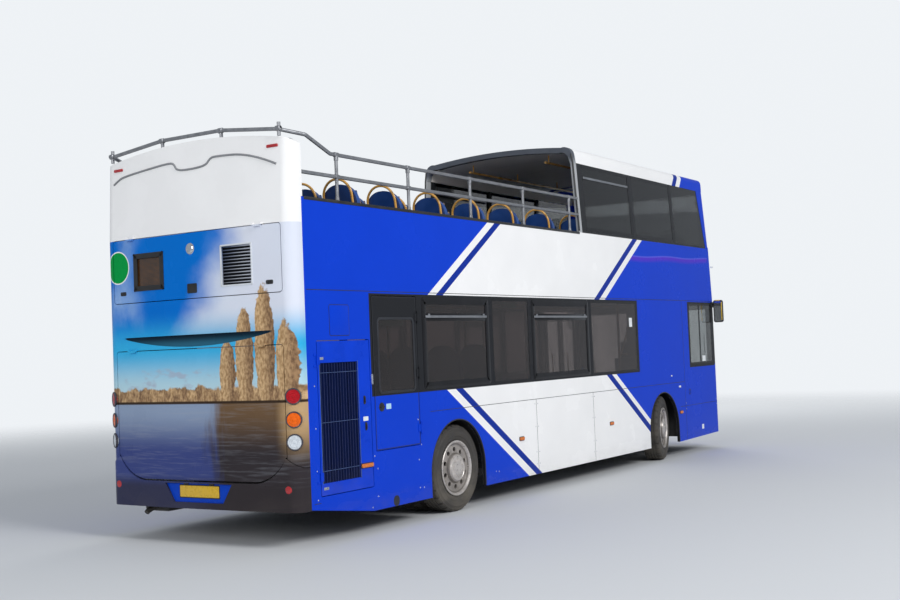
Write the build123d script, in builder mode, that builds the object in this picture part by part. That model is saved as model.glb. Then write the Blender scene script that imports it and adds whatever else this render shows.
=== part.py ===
from build123d import *
import math
import os

# Open top double decker bus, right-hand drive, in millimetres.
# +X is forward, +Y is the bus's left, +Z is up. The origin is on the ground,
# midway along the bus and on its centre line. Lengths along the bus are stations,
# measured forward from the back of the rear bumper.

os.makedirs("parts", exist_ok=True)

# Driving dimensions
LENGTH = 10930
HALF = 1260
WALL = 45
REAR_AXLE = 2770
FRONT_AXLE = 8530
TYRE_R = 478
TYRE_W = 275
RIM_R = 300
STEER_REST = 13.0

SKIRT_Z = 220
SILL_Z = 1370
HEAD_Z = 2370
SPLIT_Z = 2420
RAIL_BASE_Z = 3290
EAVES_Z = 4240
SIDE_CROWN_Z = 4430
CROWN_Z = 4520
EAVES_Y = 1200
GUARD_Z = 3748

FLOOR_Z = 350
REAR_FLOOR_Z = 850
ENGINE_FLOOR_Z = 1230
DECK_Z = 2520
DECK_T = 80
PLATE = 50

REAR_END = 200
FRONT_END = 10745
UPPER_END = 10650
REAR_BOW = 34
FRONT_BOW = 60
REAR_CORNER = 130
FRONT_CORNER = 120
CANOPY_START = 5990
HOOP_W = 90

GAP = 8
INNER = HALF - WALL


def station(s):
    """X of a station measured forward from the rear bumper."""
    return s - LENGTH / 2


def block(s0, s1, y0, y1, z0, z1, mode=Mode.ADD):
    """A rectangular solid between two stations, two sides and two heights."""
    with Locations((station((s0 + s1) / 2), (y0 + y1) / 2, (z0 + z1) / 2)):
        Box(s1 - s0, y1 - y0, z1 - z0, mode=mode)


def side_sketch(points, y0, y1, mode=Mode.ADD):
    """A straight-edged outline of (station, height) points, extruded from y0 to y1."""
    with BuildSketch(Plane.XZ.offset(-y0)) as outline:
        with BuildLine():
            Polyline([(station(s), z) for s, z in points], close=True)
        make_face()
    extrude(outline.sketch, amount=-(y1 - y0), mode=mode)


def window_cut(s0, s1, z0, z1, radius, y0, y1, mode=Mode.SUBTRACT):
    """A rounded rectangular opening through a side wall."""
    with BuildSketch(Plane.XZ.offset(-y0)) as opening:
        with Locations((station((s0 + s1) / 2), (z0 + z1) / 2)):
            RectangleRounded(s1 - s0, z1 - z0, radius)
    extrude(opening.sketch, amount=-(y1 - y0), mode=mode)


def save(builder, label):
    """Label a finished piece and write it as its own file."""
    builder.part.label = label
    export_step(builder.part, f"parts/{label}.step")


# Outline of an end of the body, seen from above: two straight returns, rounded
# corners and a slightly bowed face.
def end_plan(face, tail, half, bow, corner, z):
    with BuildSketch(Plane.XY.offset(z)) as plan:
        turn = face + math.copysign(bow, tail - face)
        with BuildLine():
            Line((station(tail), -half), (station(turn), -half))
            ThreePointArc((station(turn), -half), (station(face), 0), (station(turn), half))
            Line((station(turn), half), (station(tail), half))
            Line((station(tail), half), (station(tail), -half))
        make_face()
        corners = [v for v in plan.vertices() if abs(v.X - station(turn)) < 1]
        fillet(corners, corner)
    return plan.sketch


def end_shell(face, tail, bow, corner, z0, z1):
    """A U-shaped wall at one end of the body, as thick as the side walls."""
    inward = math.copysign(WALL, tail - face)
    extrude(end_plan(face, tail, HALF, bow, corner, z0), amount=z1 - z0)
    hollow = end_plan(face + inward, tail + inward, INNER, bow, corner - WALL, z0)
    extrude(hollow, amount=z1 - z0, mode=Mode.SUBTRACT)


def raked_shell(ends, tail, bow, corner, thick):
    """An end wall whose face leans. Each end is a (height, face station, half width)."""
    inward = math.copysign(thick, tail - ends[0][1])
    loft([end_plan(face, tail, half, bow, corner, z) for z, face, half in ends], ruled=True)
    hollow = [end_plan(face + inward, tail + inward, half - thick, bow, corner - thick, z)
              for z, face, half in ends]
    loft(hollow, ruled=True, mode=Mode.SUBTRACT)


# Panels of the rear face, seen from behind as (y, z) outlines.
HATCH_Y = 1115
HATCH_Z = (612, 1900)
ACCESS_Y = 1128
ACCESS_Z = (2398, 3040)
BUMPER_Z = 345
HORN_Y = 1107
HORN_Z = 842
CORNER_Z = 733
FLAT_Y = 728
REACH = 400
REAR_FACE = 12
HINGE_S = 6
HINGE_Y = 1268


def rear_region(kind, grow):
    """The outline of a rear panel, grown by a gap, on a plane behind the rear wall."""
    with BuildSketch(Plane.YZ.offset(station(-60))) as region:
        if kind == "bumper":
            z = HATCH_Z[0] - GAP + grow
            with BuildLine():
                Polyline([(-FLAT_Y, z), (-FLAT_Y, BUMPER_Z - 50), (FLAT_Y, BUMPER_Z - 50), (FLAT_Y, z)])
                Line((FLAT_Y, z), (-FLAT_Y, z))
            make_face()
            for side in (-1, 1):
                with BuildLine():
                    SagittaArc((side * FLAT_Y, z), (side * HORN_Y, HORN_Z + grow), side * -60)
                    Polyline([(side * HORN_Y, HORN_Z + grow), (side * (HALF + 20), CORNER_Z + grow),
                              (side * (HALF + 20), BUMPER_Z - 50), (side * FLAT_Y, BUMPER_Z - 50),
                              (side * FLAT_Y, z)])
                make_face()
        else:
            half, (z0, z1) = (HATCH_Y, HATCH_Z) if kind == "hatch" else (ACCESS_Y, ACCESS_Z)
            with Locations((0, (z0 + z1) / 2)):
                RectangleRounded(2 * (half + grow), z1 - z0 + 2 * grow, 30 + grow)
    return region.sketch


# Lower side walls
REAR_ARCH = (2770, 553, 463)
FRONT_ARCH = (8565, 550, 462)
EMERGENCY = (1235, 2035, 800, 2372)
GRILLE_DOOR = (345, 1180, 455, 1930)
DRIVER_WINDOW = (9700, 10690, 1400, 2365)
ENTRY = (9420, 10680)
ENTRY_TOP = 2350
EMERGENCY_HINGE_Z = (980, 1560, 2150)
GRILLE_HINGE_Z = (640, 1740)
HATCH_HINGE = (-860, 860)
PIN_HOLE_R = 12.5
PILLAR = 60
# from station, to station
WINDOWS_RIGHT = [(2135, 3527), (3587, 4485), (4545, 6130), (6190, 7690)]
WINDOWS_LEFT = [(1240, 2560), (2620, 3940), (4000, 5320), (5380, 6700), (6760, 8080), (8140, 9300)]
WINDOW_R = 45
# station, height of the skirt's lower edge
SKIRT = [(REAR_END, 352), (1170, SKIRT_Z), (9120, SKIRT_Z), (FRONT_END, 250)]


def standing_hinge(s, toward, z, y=-HINGE_Y):
    """The fixed half of an upright hinge: a pin between two lugs, strapped to a side wall."""
    for z0, z1 in ((z - 62, z - 42), (z + 42, z + 62)):
        with Locations((station(s), y, (z0 + z1) / 2)):
            Cylinder(7, z1 - z0)
        s0, s1 = sorted((s, s - toward * 45))
        block(s0, s1, -HALF - 6, -HALF, z0, z1)
    with Locations((station(s), y, z)):
        Cylinder(3, 124)


def swinging_hinge(s, toward, z, y=-HINGE_Y):
    """The moving half of an upright hinge: a bored barrel on a strap."""
    s0, s1 = sorted((s, s + toward * 45))
    block(s0, s1, -HALF - 6, -HALF, z - 41, z + 41)
    with Locations((station(s), y, z)):
        Cylinder(7, 82)
        Cylinder(3.5, 90, mode=Mode.SUBTRACT)


def lying_hinge(y, z, moving):
    """Either half of a hinge across the rear face, with its pin along Y."""
    down = -1 if moving else 1
    spans = ((y - 41, y + 41),) if moving else ((y - 62, y - 42), (y + 42, y + 62))
    for y0, y1 in spans:
        z0, z1 = sorted((z + down * 3, z + down * 16))
        block(HINGE_S - 3, 34, y0, y1, z0, z1)
        with Locations(Location((station(HINGE_S), (y0 + y1) / 2, z), (90, 0, 0))):
            Cylinder(5, y1 - y0)
    with Locations(Location((station(HINGE_S), y, z), (90, 0, 0))):
        if moving:
            Cylinder(2.5, 90, mode=Mode.SUBTRACT)
        else:
            Cylinder(2, 124)


def side_wall(side, windows):
    """A lower side wall with its wheel arches and window openings."""
    y0, y1 = sorted((side * HALF, side * INNER))
    side_sketch(SKIRT + [(FRONT_END, SPLIT_Z), (REAR_END, SPLIT_Z)], y0, y1)
    for s, radius, z in (REAR_ARCH, FRONT_ARCH):
        with BuildSketch(Plane.XZ.offset(-y0)) as arch:
            with Locations((station(s), z)):
                Circle(radius)
            with Locations((station(s), z / 2)):
                Rectangle(2 * radius, z)
        extrude(arch.sketch, amount=-WALL, mode=Mode.SUBTRACT)
    for s0, s1 in windows:
        window_cut(s0, s1, SILL_Z, HEAD_Z, WINDOW_R, y0, y1)
    return y0, y1


with BuildPart() as side_right_lower:
    low, high = side_wall(-1, WINDOWS_RIGHT)
    for s0, s1, z0, z1 in (EMERGENCY, GRILLE_DOOR):
        window_cut(s0, s1, z0, z1, 20, low, high)
    window_cut(*DRIVER_WINDOW, WINDOW_R, low, high)
    for z in EMERGENCY_HINGE_Z:
        standing_hinge(EMERGENCY[1] + 3, -1, z)
    for z in GRILLE_HINGE_Z:
        standing_hinge(GRILLE_DOOR[0] - 3, 1, z)
save(side_right_lower, "side_right_lower")

# The entry's frame is four bars: a post each side, a sill and a header, with a fine joint
# between them and before the wall behind.
JOINT = 2
FRAME_BAR = 50
with BuildPart() as side_left_lower:
    low, high = side_wall(1, WINDOWS_LEFT)
    block(ENTRY[0], ENTRY[1], low, high, FLOOR_Z - JOINT, ENTRY_TOP, mode=Mode.SUBTRACT)
    frame_s = ENTRY[0] - FRAME_BAR
    block(frame_s - JOINT, frame_s, low, high, 0, SPLIT_Z, mode=Mode.SUBTRACT)
    for z in (FLOOR_Z - JOINT, ENTRY_TOP):
        block(frame_s, ENTRY[0], low, high, z, z + JOINT, mode=Mode.SUBTRACT)
        block(ENTRY[1], FRONT_END, low, high, z, z + JOINT, mode=Mode.SUBTRACT)
    for s in (ENTRY[0] + 30, ENTRY[1] - 30):
        with Locations((station(s), (low + high) / 2, (FLOOR_Z + ENTRY_TOP) / 2)):
            Cylinder(PIN_HOLE_R, ENTRY_TOP - FLOOR_Z + 50, mode=Mode.SUBTRACT)
save(side_left_lower, "side_left_lower")

for side, label in ((-1, "side_right_upper"), (1, "side_left_upper")):
    with BuildPart() as side_upper:
        y0, y1 = sorted((side * HALF, side * INNER))
        block(REAR_END, UPPER_END, y0, y1, SPLIT_Z, RAIL_BASE_Z)
        fillet(side_upper.edges().filter_by(Axis.X).group_by(Axis.Z)[-1], 12)
    save(side_upper, label)

# Rear wall, its hatch and panel, and the bumper, all cut from one bowed shell
RECESS_Y = 1060
RECESS_Z = (1924, 2042)
RECESS_DEPTH = 24
with BuildPart() as rear_body:
    end_shell(REAR_FACE, REAR_END, REAR_BOW, REAR_CORNER, BUMPER_Z, ACCESS_Z[1] + GAP)
    for kind in ("hatch", "access", "bumper"):
        extrude(rear_region(kind, GAP), amount=REACH, mode=Mode.SUBTRACT)
    # finger recess above the engine hatch, a shallow slot with a bowed lower edge
    with BuildSketch(Plane.YZ.offset(station(-60))):
        with BuildLine():
            Line((-RECESS_Y, RECESS_Z[1]), (RECESS_Y, RECESS_Z[1]))
            ThreePointArc((RECESS_Y, RECESS_Z[1]), (0, RECESS_Z[0]), (-RECESS_Y, RECESS_Z[1]))
        make_face()
    extrude(amount=60 + REAR_FACE + RECESS_DEPTH, mode=Mode.SUBTRACT)
    for y in HATCH_HINGE:
        lying_hinge(y, HATCH_Z[1] + 4, False)
save(rear_body, "rear_body")

with BuildPart() as engine_hatch:
    end_shell(REAR_FACE, REAR_END, REAR_BOW, REAR_CORNER, BUMPER_Z, ACCESS_Z[1])
    extrude(rear_region("hatch", 0), amount=REACH, mode=Mode.INTERSECT)
    extrude(rear_region("bumper", 2 * GAP), amount=REACH, mode=Mode.SUBTRACT)
    for y in HATCH_HINGE:
        lying_hinge(y, HATCH_Z[1] + 4, True)
save(engine_hatch, "engine_hatch")

DISPLAY = (385, 822, 2508, 2890)
VENT = (-768, -400, 2498, 2872)
VENT_SLATS = 12
with BuildPart() as access_panel:
    end_shell(REAR_FACE, REAR_END, REAR_BOW, REAR_CORNER, BUMPER_Z, ACCESS_Z[1])
    extrude(rear_region("access", 0), amount=REACH, mode=Mode.INTERSECT)
    for y in HATCH_HINGE:
        lying_hinge(y, ACCESS_Z[1] + 4, True)
    block(-20, 120, *DISPLAY, mode=Mode.SUBTRACT)
    block(-20, 120, *VENT, mode=Mode.SUBTRACT)
    slat_pitch = (VENT[3] - VENT[2]) / VENT_SLATS
    for i in range(VENT_SLATS):
        z = VENT[2] + slat_pitch * (i + 0.5)
        with Locations(Location((station(44), (VENT[0] + VENT[1]) / 2, z), (0, 38, 0))):
            Box(30, VENT[1] - VENT[0], 5)
save(access_panel, "access_panel")

with BuildPart() as rear_display:
    block(28, 70, *DISPLAY)
    block(20, 40, DISPLAY[0] + 45, DISPLAY[1] - 45, DISPLAY[2] + 45, DISPLAY[3] - 45, mode=Mode.SUBTRACT)
save(rear_display, "rear_display")

with BuildPart() as rear_bumper:
    end_shell(0, REAR_END, REAR_BOW, REAR_CORNER, BUMPER_Z, 1000)
    extrude(rear_region("bumper", 0), amount=REACH, mode=Mode.INTERSECT)
    # sloped pocket for the number plate
    with BuildSketch(Plane.YZ.offset(station(-5))):
        with BuildLine():
            Polyline([(-445, 590), (445, 590), (330, 405), (-330, 405)], close=True)
        make_face()
    extrude(amount=33, mode=Mode.SUBTRACT)
save(rear_bumper, "rear_bumper")

# Tall panel that closes the back of the upper deck, arched like the roof
REAR_TOP_Z = (3840, 3948)
with BuildPart() as rear_top:
    ends = ((ACCESS_Z[1] + GAP, REAR_FACE, HALF), (3960, REAR_FACE + 40, HALF))
    raked_shell(ends, REAR_END + 20, REAR_BOW, REAR_CORNER, WALL)
    block(REAR_END, REAR_END + 200, -HALF - 20, HALF + 20, 3000, RAIL_BASE_Z, mode=Mode.SUBTRACT)
    with BuildSketch(Plane.YZ.offset(station(-60))):
        with BuildLine():
            Line((-HALF - 20, 3000), (HALF + 20, 3000))
            Line((HALF + 20, 3000), (HALF + 20, 3780))
            Line((HALF + 20, 3780), (HALF - 60, REAR_TOP_Z[0]))
            ThreePointArc((HALF - 60, REAR_TOP_Z[0]), (0, REAR_TOP_Z[1]), (60 - HALF, REAR_TOP_Z[0]))
            Line((60 - HALF, REAR_TOP_Z[0]), (-HALF - 20, 3780))
            Line((-HALF - 20, 3780), (-HALF - 20, 3000))
        make_face()
    extrude(amount=REACH, mode=Mode.INTERSECT)
    for y in HATCH_HINGE:
        lying_hinge(y, ACCESS_Z[1] + 4, False)
save(rear_top, "rear_top")

# Front of the body
FRONT_FACE = LENGTH
FRONT_DECK_FACE = 10850
FRONT_TOP_FACE = 10810
SCREEN_LOW = (1130, 1150, 2330)
with BuildPart() as front_lower:
    end_shell(FRONT_FACE, FRONT_END, FRONT_BOW, FRONT_CORNER, 250, SPLIT_Z)
    half, z0, z1 = SCREEN_LOW
    with BuildSketch(Plane.YZ.offset(station(FRONT_END - 50))):
        with Locations((0, (z0 + z1) / 2)):
            RectangleRounded(2 * half, z1 - z0, 70)
    extrude(amount=300, mode=Mode.SUBTRACT)
    for y in (-860, 860):
        with BuildSketch(Plane.YZ.offset(station(FRONT_END))):
            with Locations((y, 620)):
                RectangleRounded(440, 170, 60)
        extrude(amount=200, mode=Mode.SUBTRACT)
save(front_lower, "front_lower")

with BuildPart() as front_upper:
    ends = ((SPLIT_Z, FRONT_FACE, HALF), (RAIL_BASE_Z + 20, FRONT_DECK_FACE, HALF))
    raked_shell(ends, UPPER_END, FRONT_BOW, FRONT_CORNER, WALL)
save(front_upper, "front_upper")

# Canopy: an arched roof shell over the front half, carried on frames
def roof_arch(s, drop, inset):
    """Roof outline across the bus between the eaves, at a station."""
    half = EAVES_Y - inset
    turn_z = SIDE_CROWN_Z - 60 - drop
    with BuildSketch(Plane.YZ.offset(station(s))) as arch:
        with BuildLine():
            Line((-half, EAVES_Z), (half, EAVES_Z))
            Line((half, EAVES_Z), (half - 20, turn_z))
            ThreePointArc((half - 20, turn_z), (half - 60, turn_z + 65), (half - 170, turn_z + 88))
            ThreePointArc((half - 170, turn_z + 88), (0, CROWN_Z - drop), (170 - half, turn_z + 88))
            ThreePointArc((170 - half, turn_z + 88), (60 - half, turn_z + 65), (20 - half, turn_z))
            Line((20 - half, turn_z), (-half, EAVES_Z))
        make_face()
    return arch.sketch


ROOF_FACE = 10816
ROOF_START = CANOPY_START + HOOP_W
with BuildPart() as roof_canopy:
    extrude(roof_arch(ROOF_START, 0, 0), amount=ROOF_FACE - ROOF_START)
    plan = end_plan(ROOF_FACE, ROOF_START, EAVES_Y, FRONT_BOW, FRONT_CORNER, EAVES_Z)
    extrude(plan, amount=CROWN_Z, mode=Mode.INTERSECT)
    with BuildPart(mode=Mode.PRIVATE) as hollow:
        extrude(roof_arch(ROOF_START, WALL, WALL), amount=ROOF_FACE - ROOF_START)
        plan = end_plan(ROOF_FACE - WALL, ROOF_START, EAVES_Y - WALL, FRONT_BOW, FRONT_CORNER - WALL, EAVES_Z)
        extrude(plan, amount=CROWN_Z, mode=Mode.INTERSECT)
    add(hollow.part, mode=Mode.SUBTRACT)
save(roof_canopy, "roof_canopy")

# Upper deck window frame: rear hoop, pillars and the rails that join them.
# The sides lean in from the wall top to the eaves.
LEAN_LOW_Y = HALF - 8
PILLAR_T = 38
POSTS_TAIL = 10350
FRAME_END = 10600
# from station, to station of each upper deck window pillar
UPPER_PILLARS = [(CANOPY_START, CANOPY_START + HOOP_W + 120), (7745, 7815), (9285, 9350)]
# edge of the side glass against the front corner, in station and height
GLASS_EDGE = [(FRAME_END, RAIL_BASE_Z - 10), (FRAME_END, RAIL_BASE_Z + 30), (10612, RAIL_BASE_Z + 30),
              (10425, EAVES_Z + 10)]


def leaning_post(side, s0, s1, z0, z1, inset, thick):
    """A strip of the leaning window plane between two stations."""
    slope = (LEAN_LOW_Y - EAVES_Y) / (EAVES_Z - RAIL_BASE_Z)
    low_y = LEAN_LOW_Y - inset - slope * (z0 - RAIL_BASE_Z)
    high_y = LEAN_LOW_Y - inset - slope * (z1 - RAIL_BASE_Z)
    with BuildSketch(Plane.YZ.offset(station(s0))) as strip:
        with BuildLine():
            Polyline([(side * low_y, z0), (side * high_y, z1), (side * (high_y - thick), z1),
                      (side * (low_y - thick), z0)], close=True)
        make_face()
    extrude(strip.sketch, amount=s1 - s0)


with BuildPart() as canopy_frame:
    extrude(roof_arch(CANOPY_START, 0, 0), amount=HOOP_W)
    extrude(roof_arch(CANOPY_START, WALL + 25, WALL), amount=HOOP_W, mode=Mode.SUBTRACT)
    for side in (-1, 1):
        leaning_post(side, CANOPY_START, FRAME_END, RAIL_BASE_Z, RAIL_BASE_Z + 30, 0, PILLAR_T)
        for s0, s1 in UPPER_PILLARS:
            leaning_post(side, s0, s1, RAIL_BASE_Z + 20, EAVES_Z, 0, PILLAR_T)
save(canopy_frame, "canopy_frame")

# Raked corner posts round the upper windscreen
SCREEN_HIGH = (1085, RAIL_BASE_Z + 60, EAVES_Z - 25)
with BuildPart() as front_posts:
    ends = ((RAIL_BASE_Z, FRONT_DECK_FACE, LEAN_LOW_Y), (EAVES_Z, FRONT_TOP_FACE, EAVES_Y))
    raked_shell(ends, POSTS_TAIL, FRONT_BOW, FRONT_CORNER, PILLAR_T)
    side_sketch(GLASS_EDGE + [(POSTS_TAIL - 10, EAVES_Z + 10), (POSTS_TAIL - 10, RAIL_BASE_Z - 10)],
                -HALF, HALF, mode=Mode.SUBTRACT)
    block(UPPER_END, LENGTH, -HALF, HALF, RAIL_BASE_Z - 10, RAIL_BASE_Z + 20, mode=Mode.SUBTRACT)
    half, z0, z1 = SCREEN_HIGH
    with BuildSketch(Plane.YZ.offset(station(UPPER_END))):
        with Locations((0, (z0 + z1) / 2)):
            RectangleRounded(2 * half, z1 - z0, 90)
    extrude(amount=REACH, mode=Mode.SUBTRACT)
save(front_posts, "front_posts")

# Glass
GLASS_T = 8
with BuildPart() as glass_lower:
    for side, panes in ((-1, WINDOWS_RIGHT), (1, WINDOWS_LEFT)):
        y0, y1 = sorted((side * (HALF - 2), side * (HALF - 2 - GLASS_T)))
        for s0, s1 in panes:
            window_cut(s0, s1, SILL_Z, HEAD_Z, WINDOW_R, y0, y1, mode=Mode.ADD)
    s0, s1, z0, z1 = DRIVER_WINDOW
    window_cut(s0, s1, z0, z1, WINDOW_R, 2 - HALF, 2 - HALF + GLASS_T, mode=Mode.ADD)
save(glass_lower, "glass_lower")

with BuildPart() as glass_upper:
    for side in (-1, 1):
        for (_, s0), (s1, _) in zip(UPPER_PILLARS, UPPER_PILLARS[1:] + [(UPPER_END, UPPER_END)]):
            leaning_post(side, s0, s1, RAIL_BASE_Z + 30, EAVES_Z, 4, GLASS_T)
    side_sketch(GLASS_EDGE[2:] + [(UPPER_END + 10, EAVES_Z + 10), (UPPER_END + 10, RAIL_BASE_Z + 30)],
                -HALF, HALF, mode=Mode.SUBTRACT)
save(glass_upper, "glass_upper")

with BuildPart() as windscreen_lower:
    half, z0, z1 = SCREEN_LOW
    outer = 4
    inner = 4 + GLASS_T
    pane = end_plan(FRONT_FACE - outer, FRONT_END - 40, HALF - outer, FRONT_BOW, FRONT_CORNER - outer, z0)
    extrude(pane, amount=z1 - z0)
    pane = end_plan(FRONT_FACE - inner, FRONT_END - 60, HALF - inner, FRONT_BOW, FRONT_CORNER - inner, z0)
    extrude(pane, amount=z1 - z0, mode=Mode.SUBTRACT)
    with BuildSketch(Plane.YZ.offset(station(FRONT_END - 50))):
        with Locations((0, (z0 + z1) / 2)):
            RectangleRounded(2 * half, z1 - z0, 70)
    extrude(amount=300, mode=Mode.INTERSECT)
save(windscreen_lower, "windscreen_lower")

with BuildPart() as windscreen_upper:
    ends = ((RAIL_BASE_Z, FRONT_DECK_FACE - 4, LEAN_LOW_Y - 4), (EAVES_Z, FRONT_TOP_FACE - 4, EAVES_Y - 4))
    raked_shell(ends, POSTS_TAIL, FRONT_BOW, FRONT_CORNER - 4, GLASS_T)
    half, z0, z1 = SCREEN_HIGH
    with BuildSketch(Plane.YZ.offset(station(UPPER_END))):
        with Locations((0, (z0 + z1) / 2)):
            RectangleRounded(2 * half, z1 - z0, 90)
    extrude(amount=REACH, mode=Mode.INTERSECT)
save(windscreen_upper, "windscreen_upper")

# Floors
WHEEL_BOX_R = 575
FRONT_BOX = (7945, 9165, 570, 1025)
REAR_BOX = (REAR_AXLE - WHEEL_BOX_R, REAR_AXLE + WHEEL_BOX_R, 590)
STEP_Z = 600
# station, station, height of each floor plate, and of the foot of the riser at its front edge
FLOOR_PLATES = [(REAR_END, 1330, ENGINE_FLOOR_Z, REAR_FLOOR_Z + JOINT), (1280, 4150, REAR_FLOOR_Z, STEP_Z + JOINT),
                (4100, 4400, STEP_Z, FLOOR_Z + JOINT), (4350, FRONT_END, FLOOR_Z, FLOOR_Z - PLATE)]
with BuildPart() as lower_floor:
    for s0, s1, z, foot in FLOOR_PLATES:
        block(s0, s1, -INNER, INNER, z - PLATE, z)
        if foot < z - PLATE:
            block(s1 - PLATE, s1, -INNER, INNER, foot, z - PLATE)
    for side in (-1, 1):
        y0, y1 = sorted((side * FRONT_BOX[2], side * (HALF + 10)))
        block(FRONT_BOX[0], FRONT_BOX[1], y0, y1, 200, 1200, mode=Mode.SUBTRACT)
        y0, y1 = sorted((side * REAR_BOX[2], side * (HALF + 10)))
        with Locations(Location((station(REAR_AXLE), (y0 + y1) / 2, REAR_ARCH[2]), (90, 0, 0))):
            Cylinder(WHEEL_BOX_R, y1 - y0, mode=Mode.SUBTRACT)
save(lower_floor, "lower_floor")

SKIN = 15
with BuildPart() as wheel_boxes:
    for side in (-1, 1):
        s0, s1, inner, top_z = FRONT_BOX
        y0, y1 = sorted((side * inner, side * INNER))
        window_cut(s0, s1, 120, top_z, 150, y0, y1, mode=Mode.ADD)
        y0, y1 = sorted((side * (inner + SKIN), side * INNER))
        window_cut(s0 + SKIN, s1 - SKIN, 100, top_z - SKIN, 150 - SKIN, y0, y1)
        s0, s1, inner = REAR_BOX
        for radius, start, mode in ((WHEEL_BOX_R, inner, Mode.ADD), (WHEEL_BOX_R - SKIN, inner + SKIN, Mode.SUBTRACT)):
            y0, y1 = sorted((side * start, side * INNER))
            with BuildSketch(Plane.XZ.offset(-y0)) as box_arch:
                with Locations((station(REAR_AXLE), REAR_ARCH[2])):
                    Circle(radius)
                with Locations((station(REAR_AXLE), 380)):
                    Rectangle(2 * radius, 170)
            extrude(box_arch.sketch, amount=-(y1 - y0), mode=mode)
        for s0, s1, z in ((FRONT_BOX[0] - 5, FRONT_BOX[1] + 5, FLOOR_Z - PLATE), (REAR_BOX[0] - 5, REAR_BOX[1] + 5, 600)):
            block(s0, s1, -HALF, HALF, -200, z, mode=Mode.SUBTRACT)
save(wheel_boxes, "wheel_boxes")

STAIR_START = 7450
STAIR_RUN = 230
STAIR_RISERS = 9
STAIR_Y = (-1195, -560)
STAIR_T = 25
WELL = (7500, 9290, -INNER, -520)
WELL_WALL_Z = 3270
with BuildPart() as upper_floor:
    block(REAR_END, UPPER_END, -INNER, INNER, DECK_Z - DECK_T, DECK_Z)
    block(WELL[0], WELL[1], WELL[2] - 5, WELL[3], DECK_Z - 200, DECK_Z + 50, mode=Mode.SUBTRACT)
save(upper_floor, "upper_floor")

with BuildPart() as stairs:
    rise = (DECK_Z - FLOOR_Z) / STAIR_RISERS
    upper = [(STAIR_START, FLOOR_Z)]
    for i in range(STAIR_RISERS - 1):
        s = STAIR_START + i * STAIR_RUN
        upper += [(s, FLOOR_Z + (i + 1) * rise), (s + STAIR_RUN, FLOOR_Z + (i + 1) * rise)]
    lower = [(s + STAIR_T, z - STAIR_T) for s, z in upper[1:-1]]
    outline = upper + [(WELL[1], upper[-1][1] - STAIR_T)]
    side_sketch(outline + lower[::-1] + [(STAIR_START + STAIR_T, FLOOR_Z)], *STAIR_Y)
    # riser under the upper floor's edge and the guard wall around the stairwell
    block(WELL[1] - STAIR_T, WELL[1], *STAIR_Y, upper[-1][1] - STAIR_T, DECK_Z)
    block(WELL[0] - 25, WELL[1] - 450, WELL[3], WELL[3] + 25, DECK_Z, WELL_WALL_Z)
    block(WELL[0] - 25, WELL[0], WELL[2], WELL[3], DECK_Z, WELL_WALL_Z)
save(stairs, "stairs")

# Chassis
RAIL_Y = 455
RAIL_W = 70
# station, height of the rail's top edge
FRAME_TOP = [(430, 560), (1300, 560), (1900, 800), (3700, 800), (4080, 300), (8420, 300)]
FRAME_DEPTH = 95
# station, height of each cross member's underside
CROSS = [(480, 480), (1500, 560), (2200, 715), (3350, 715), (4300, 215), (5700, 215), (7300, 215), (9300, 210),
         (10520, 210)]
with BuildPart() as chassis_frame:
    for side in (-1, 1):
        y0, y1 = sorted((side * (RAIL_Y - RAIL_W / 2), side * (RAIL_Y + RAIL_W / 2)))
        side_sketch(FRAME_TOP + [(s, z - FRAME_DEPTH) for s, z in FRAME_TOP[::-1]], y0, y1)
        block(8640, 10600, y0, y1, 205, 300)
save(chassis_frame, "chassis_frame")

with BuildPart() as cross_members:
    inner = RAIL_Y - RAIL_W / 2
    for s, z in CROSS:
        block(s, s + 80, -inner, inner, z, z + 70)
    # towing bracket under the front bumper
    block(CROSS[-1][0], 10880, -60, 60, 205, 235)
    with Locations((station(10820), 0, 220)):
        Cylinder(21, 60, mode=Mode.SUBTRACT)
save(cross_members, "cross_members")

KINGPIN_Y = 960
WHEEL_OFFSET = 137.5
HUB_Z = TYRE_R
with BuildPart() as front_axle:
    with BuildSketch(Plane.YZ.offset(station(FRONT_AXLE - 110))):
        with BuildLine():
            Polyline([(-KINGPIN_Y, 540), (-700, 540), (-610, 290), (610, 290), (700, 540), (KINGPIN_Y, 540),
                      (KINGPIN_Y, 416), (800, 416), (700, 190), (-700, 190), (-800, 416), (-KINGPIN_Y, 416)],
                     close=True)
        make_face()
    extrude(amount=220)
    for side in (-1, 1):
        for edge in (-1, 1):
            s = FRONT_AXLE + edge * 110
            y0, y1 = sorted((side * 720, side * (KINGPIN_Y + 5)))
            s0, s1 = sorted((s, s - edge * 60))
            block(s0, s1, y0, y1, 400, 560, mode=Mode.SUBTRACT)
        with Locations((station(FRONT_AXLE), side * KINGPIN_Y, HUB_Z)):
            Cylinder(55, 124)
            Cylinder(28, 236)
save(front_axle, "front_axle")

with BuildPart() as rear_axle:
    axle_plane = Plane(origin=(station(REAR_AXLE), 0, HUB_Z), x_dir=(0, 0, 1), z_dir=(-1, 0, 0))
    with BuildSketch(axle_plane):
        with BuildLine():
            Polyline([(0, -575), (95, -575), (95, -330), (190, -150), (190, 150), (95, 330), (95, 575), (0, 575)],
                     close=True)
        make_face()
    revolve(axis=Axis((station(REAR_AXLE), 0, HUB_Z), (0, 1, 0)))
    for side in (-1, 1):
        y0, y1 = sorted((side * (RAIL_Y - 30), side * (RAIL_Y + 30)))
        block(REAR_AXLE - 60, REAR_AXLE + 60, y0, y1, HUB_Z, 705)
        with Locations(Location((station(REAR_AXLE), side * 640, HUB_Z), (90, 0, 0))):
            Cylinder(50, 300)
save(rear_axle, "rear_axle")

with BuildPart() as engine:
    block(480, 1240, -410, 410, 560, 1150)
save(engine, "engine")


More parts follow.
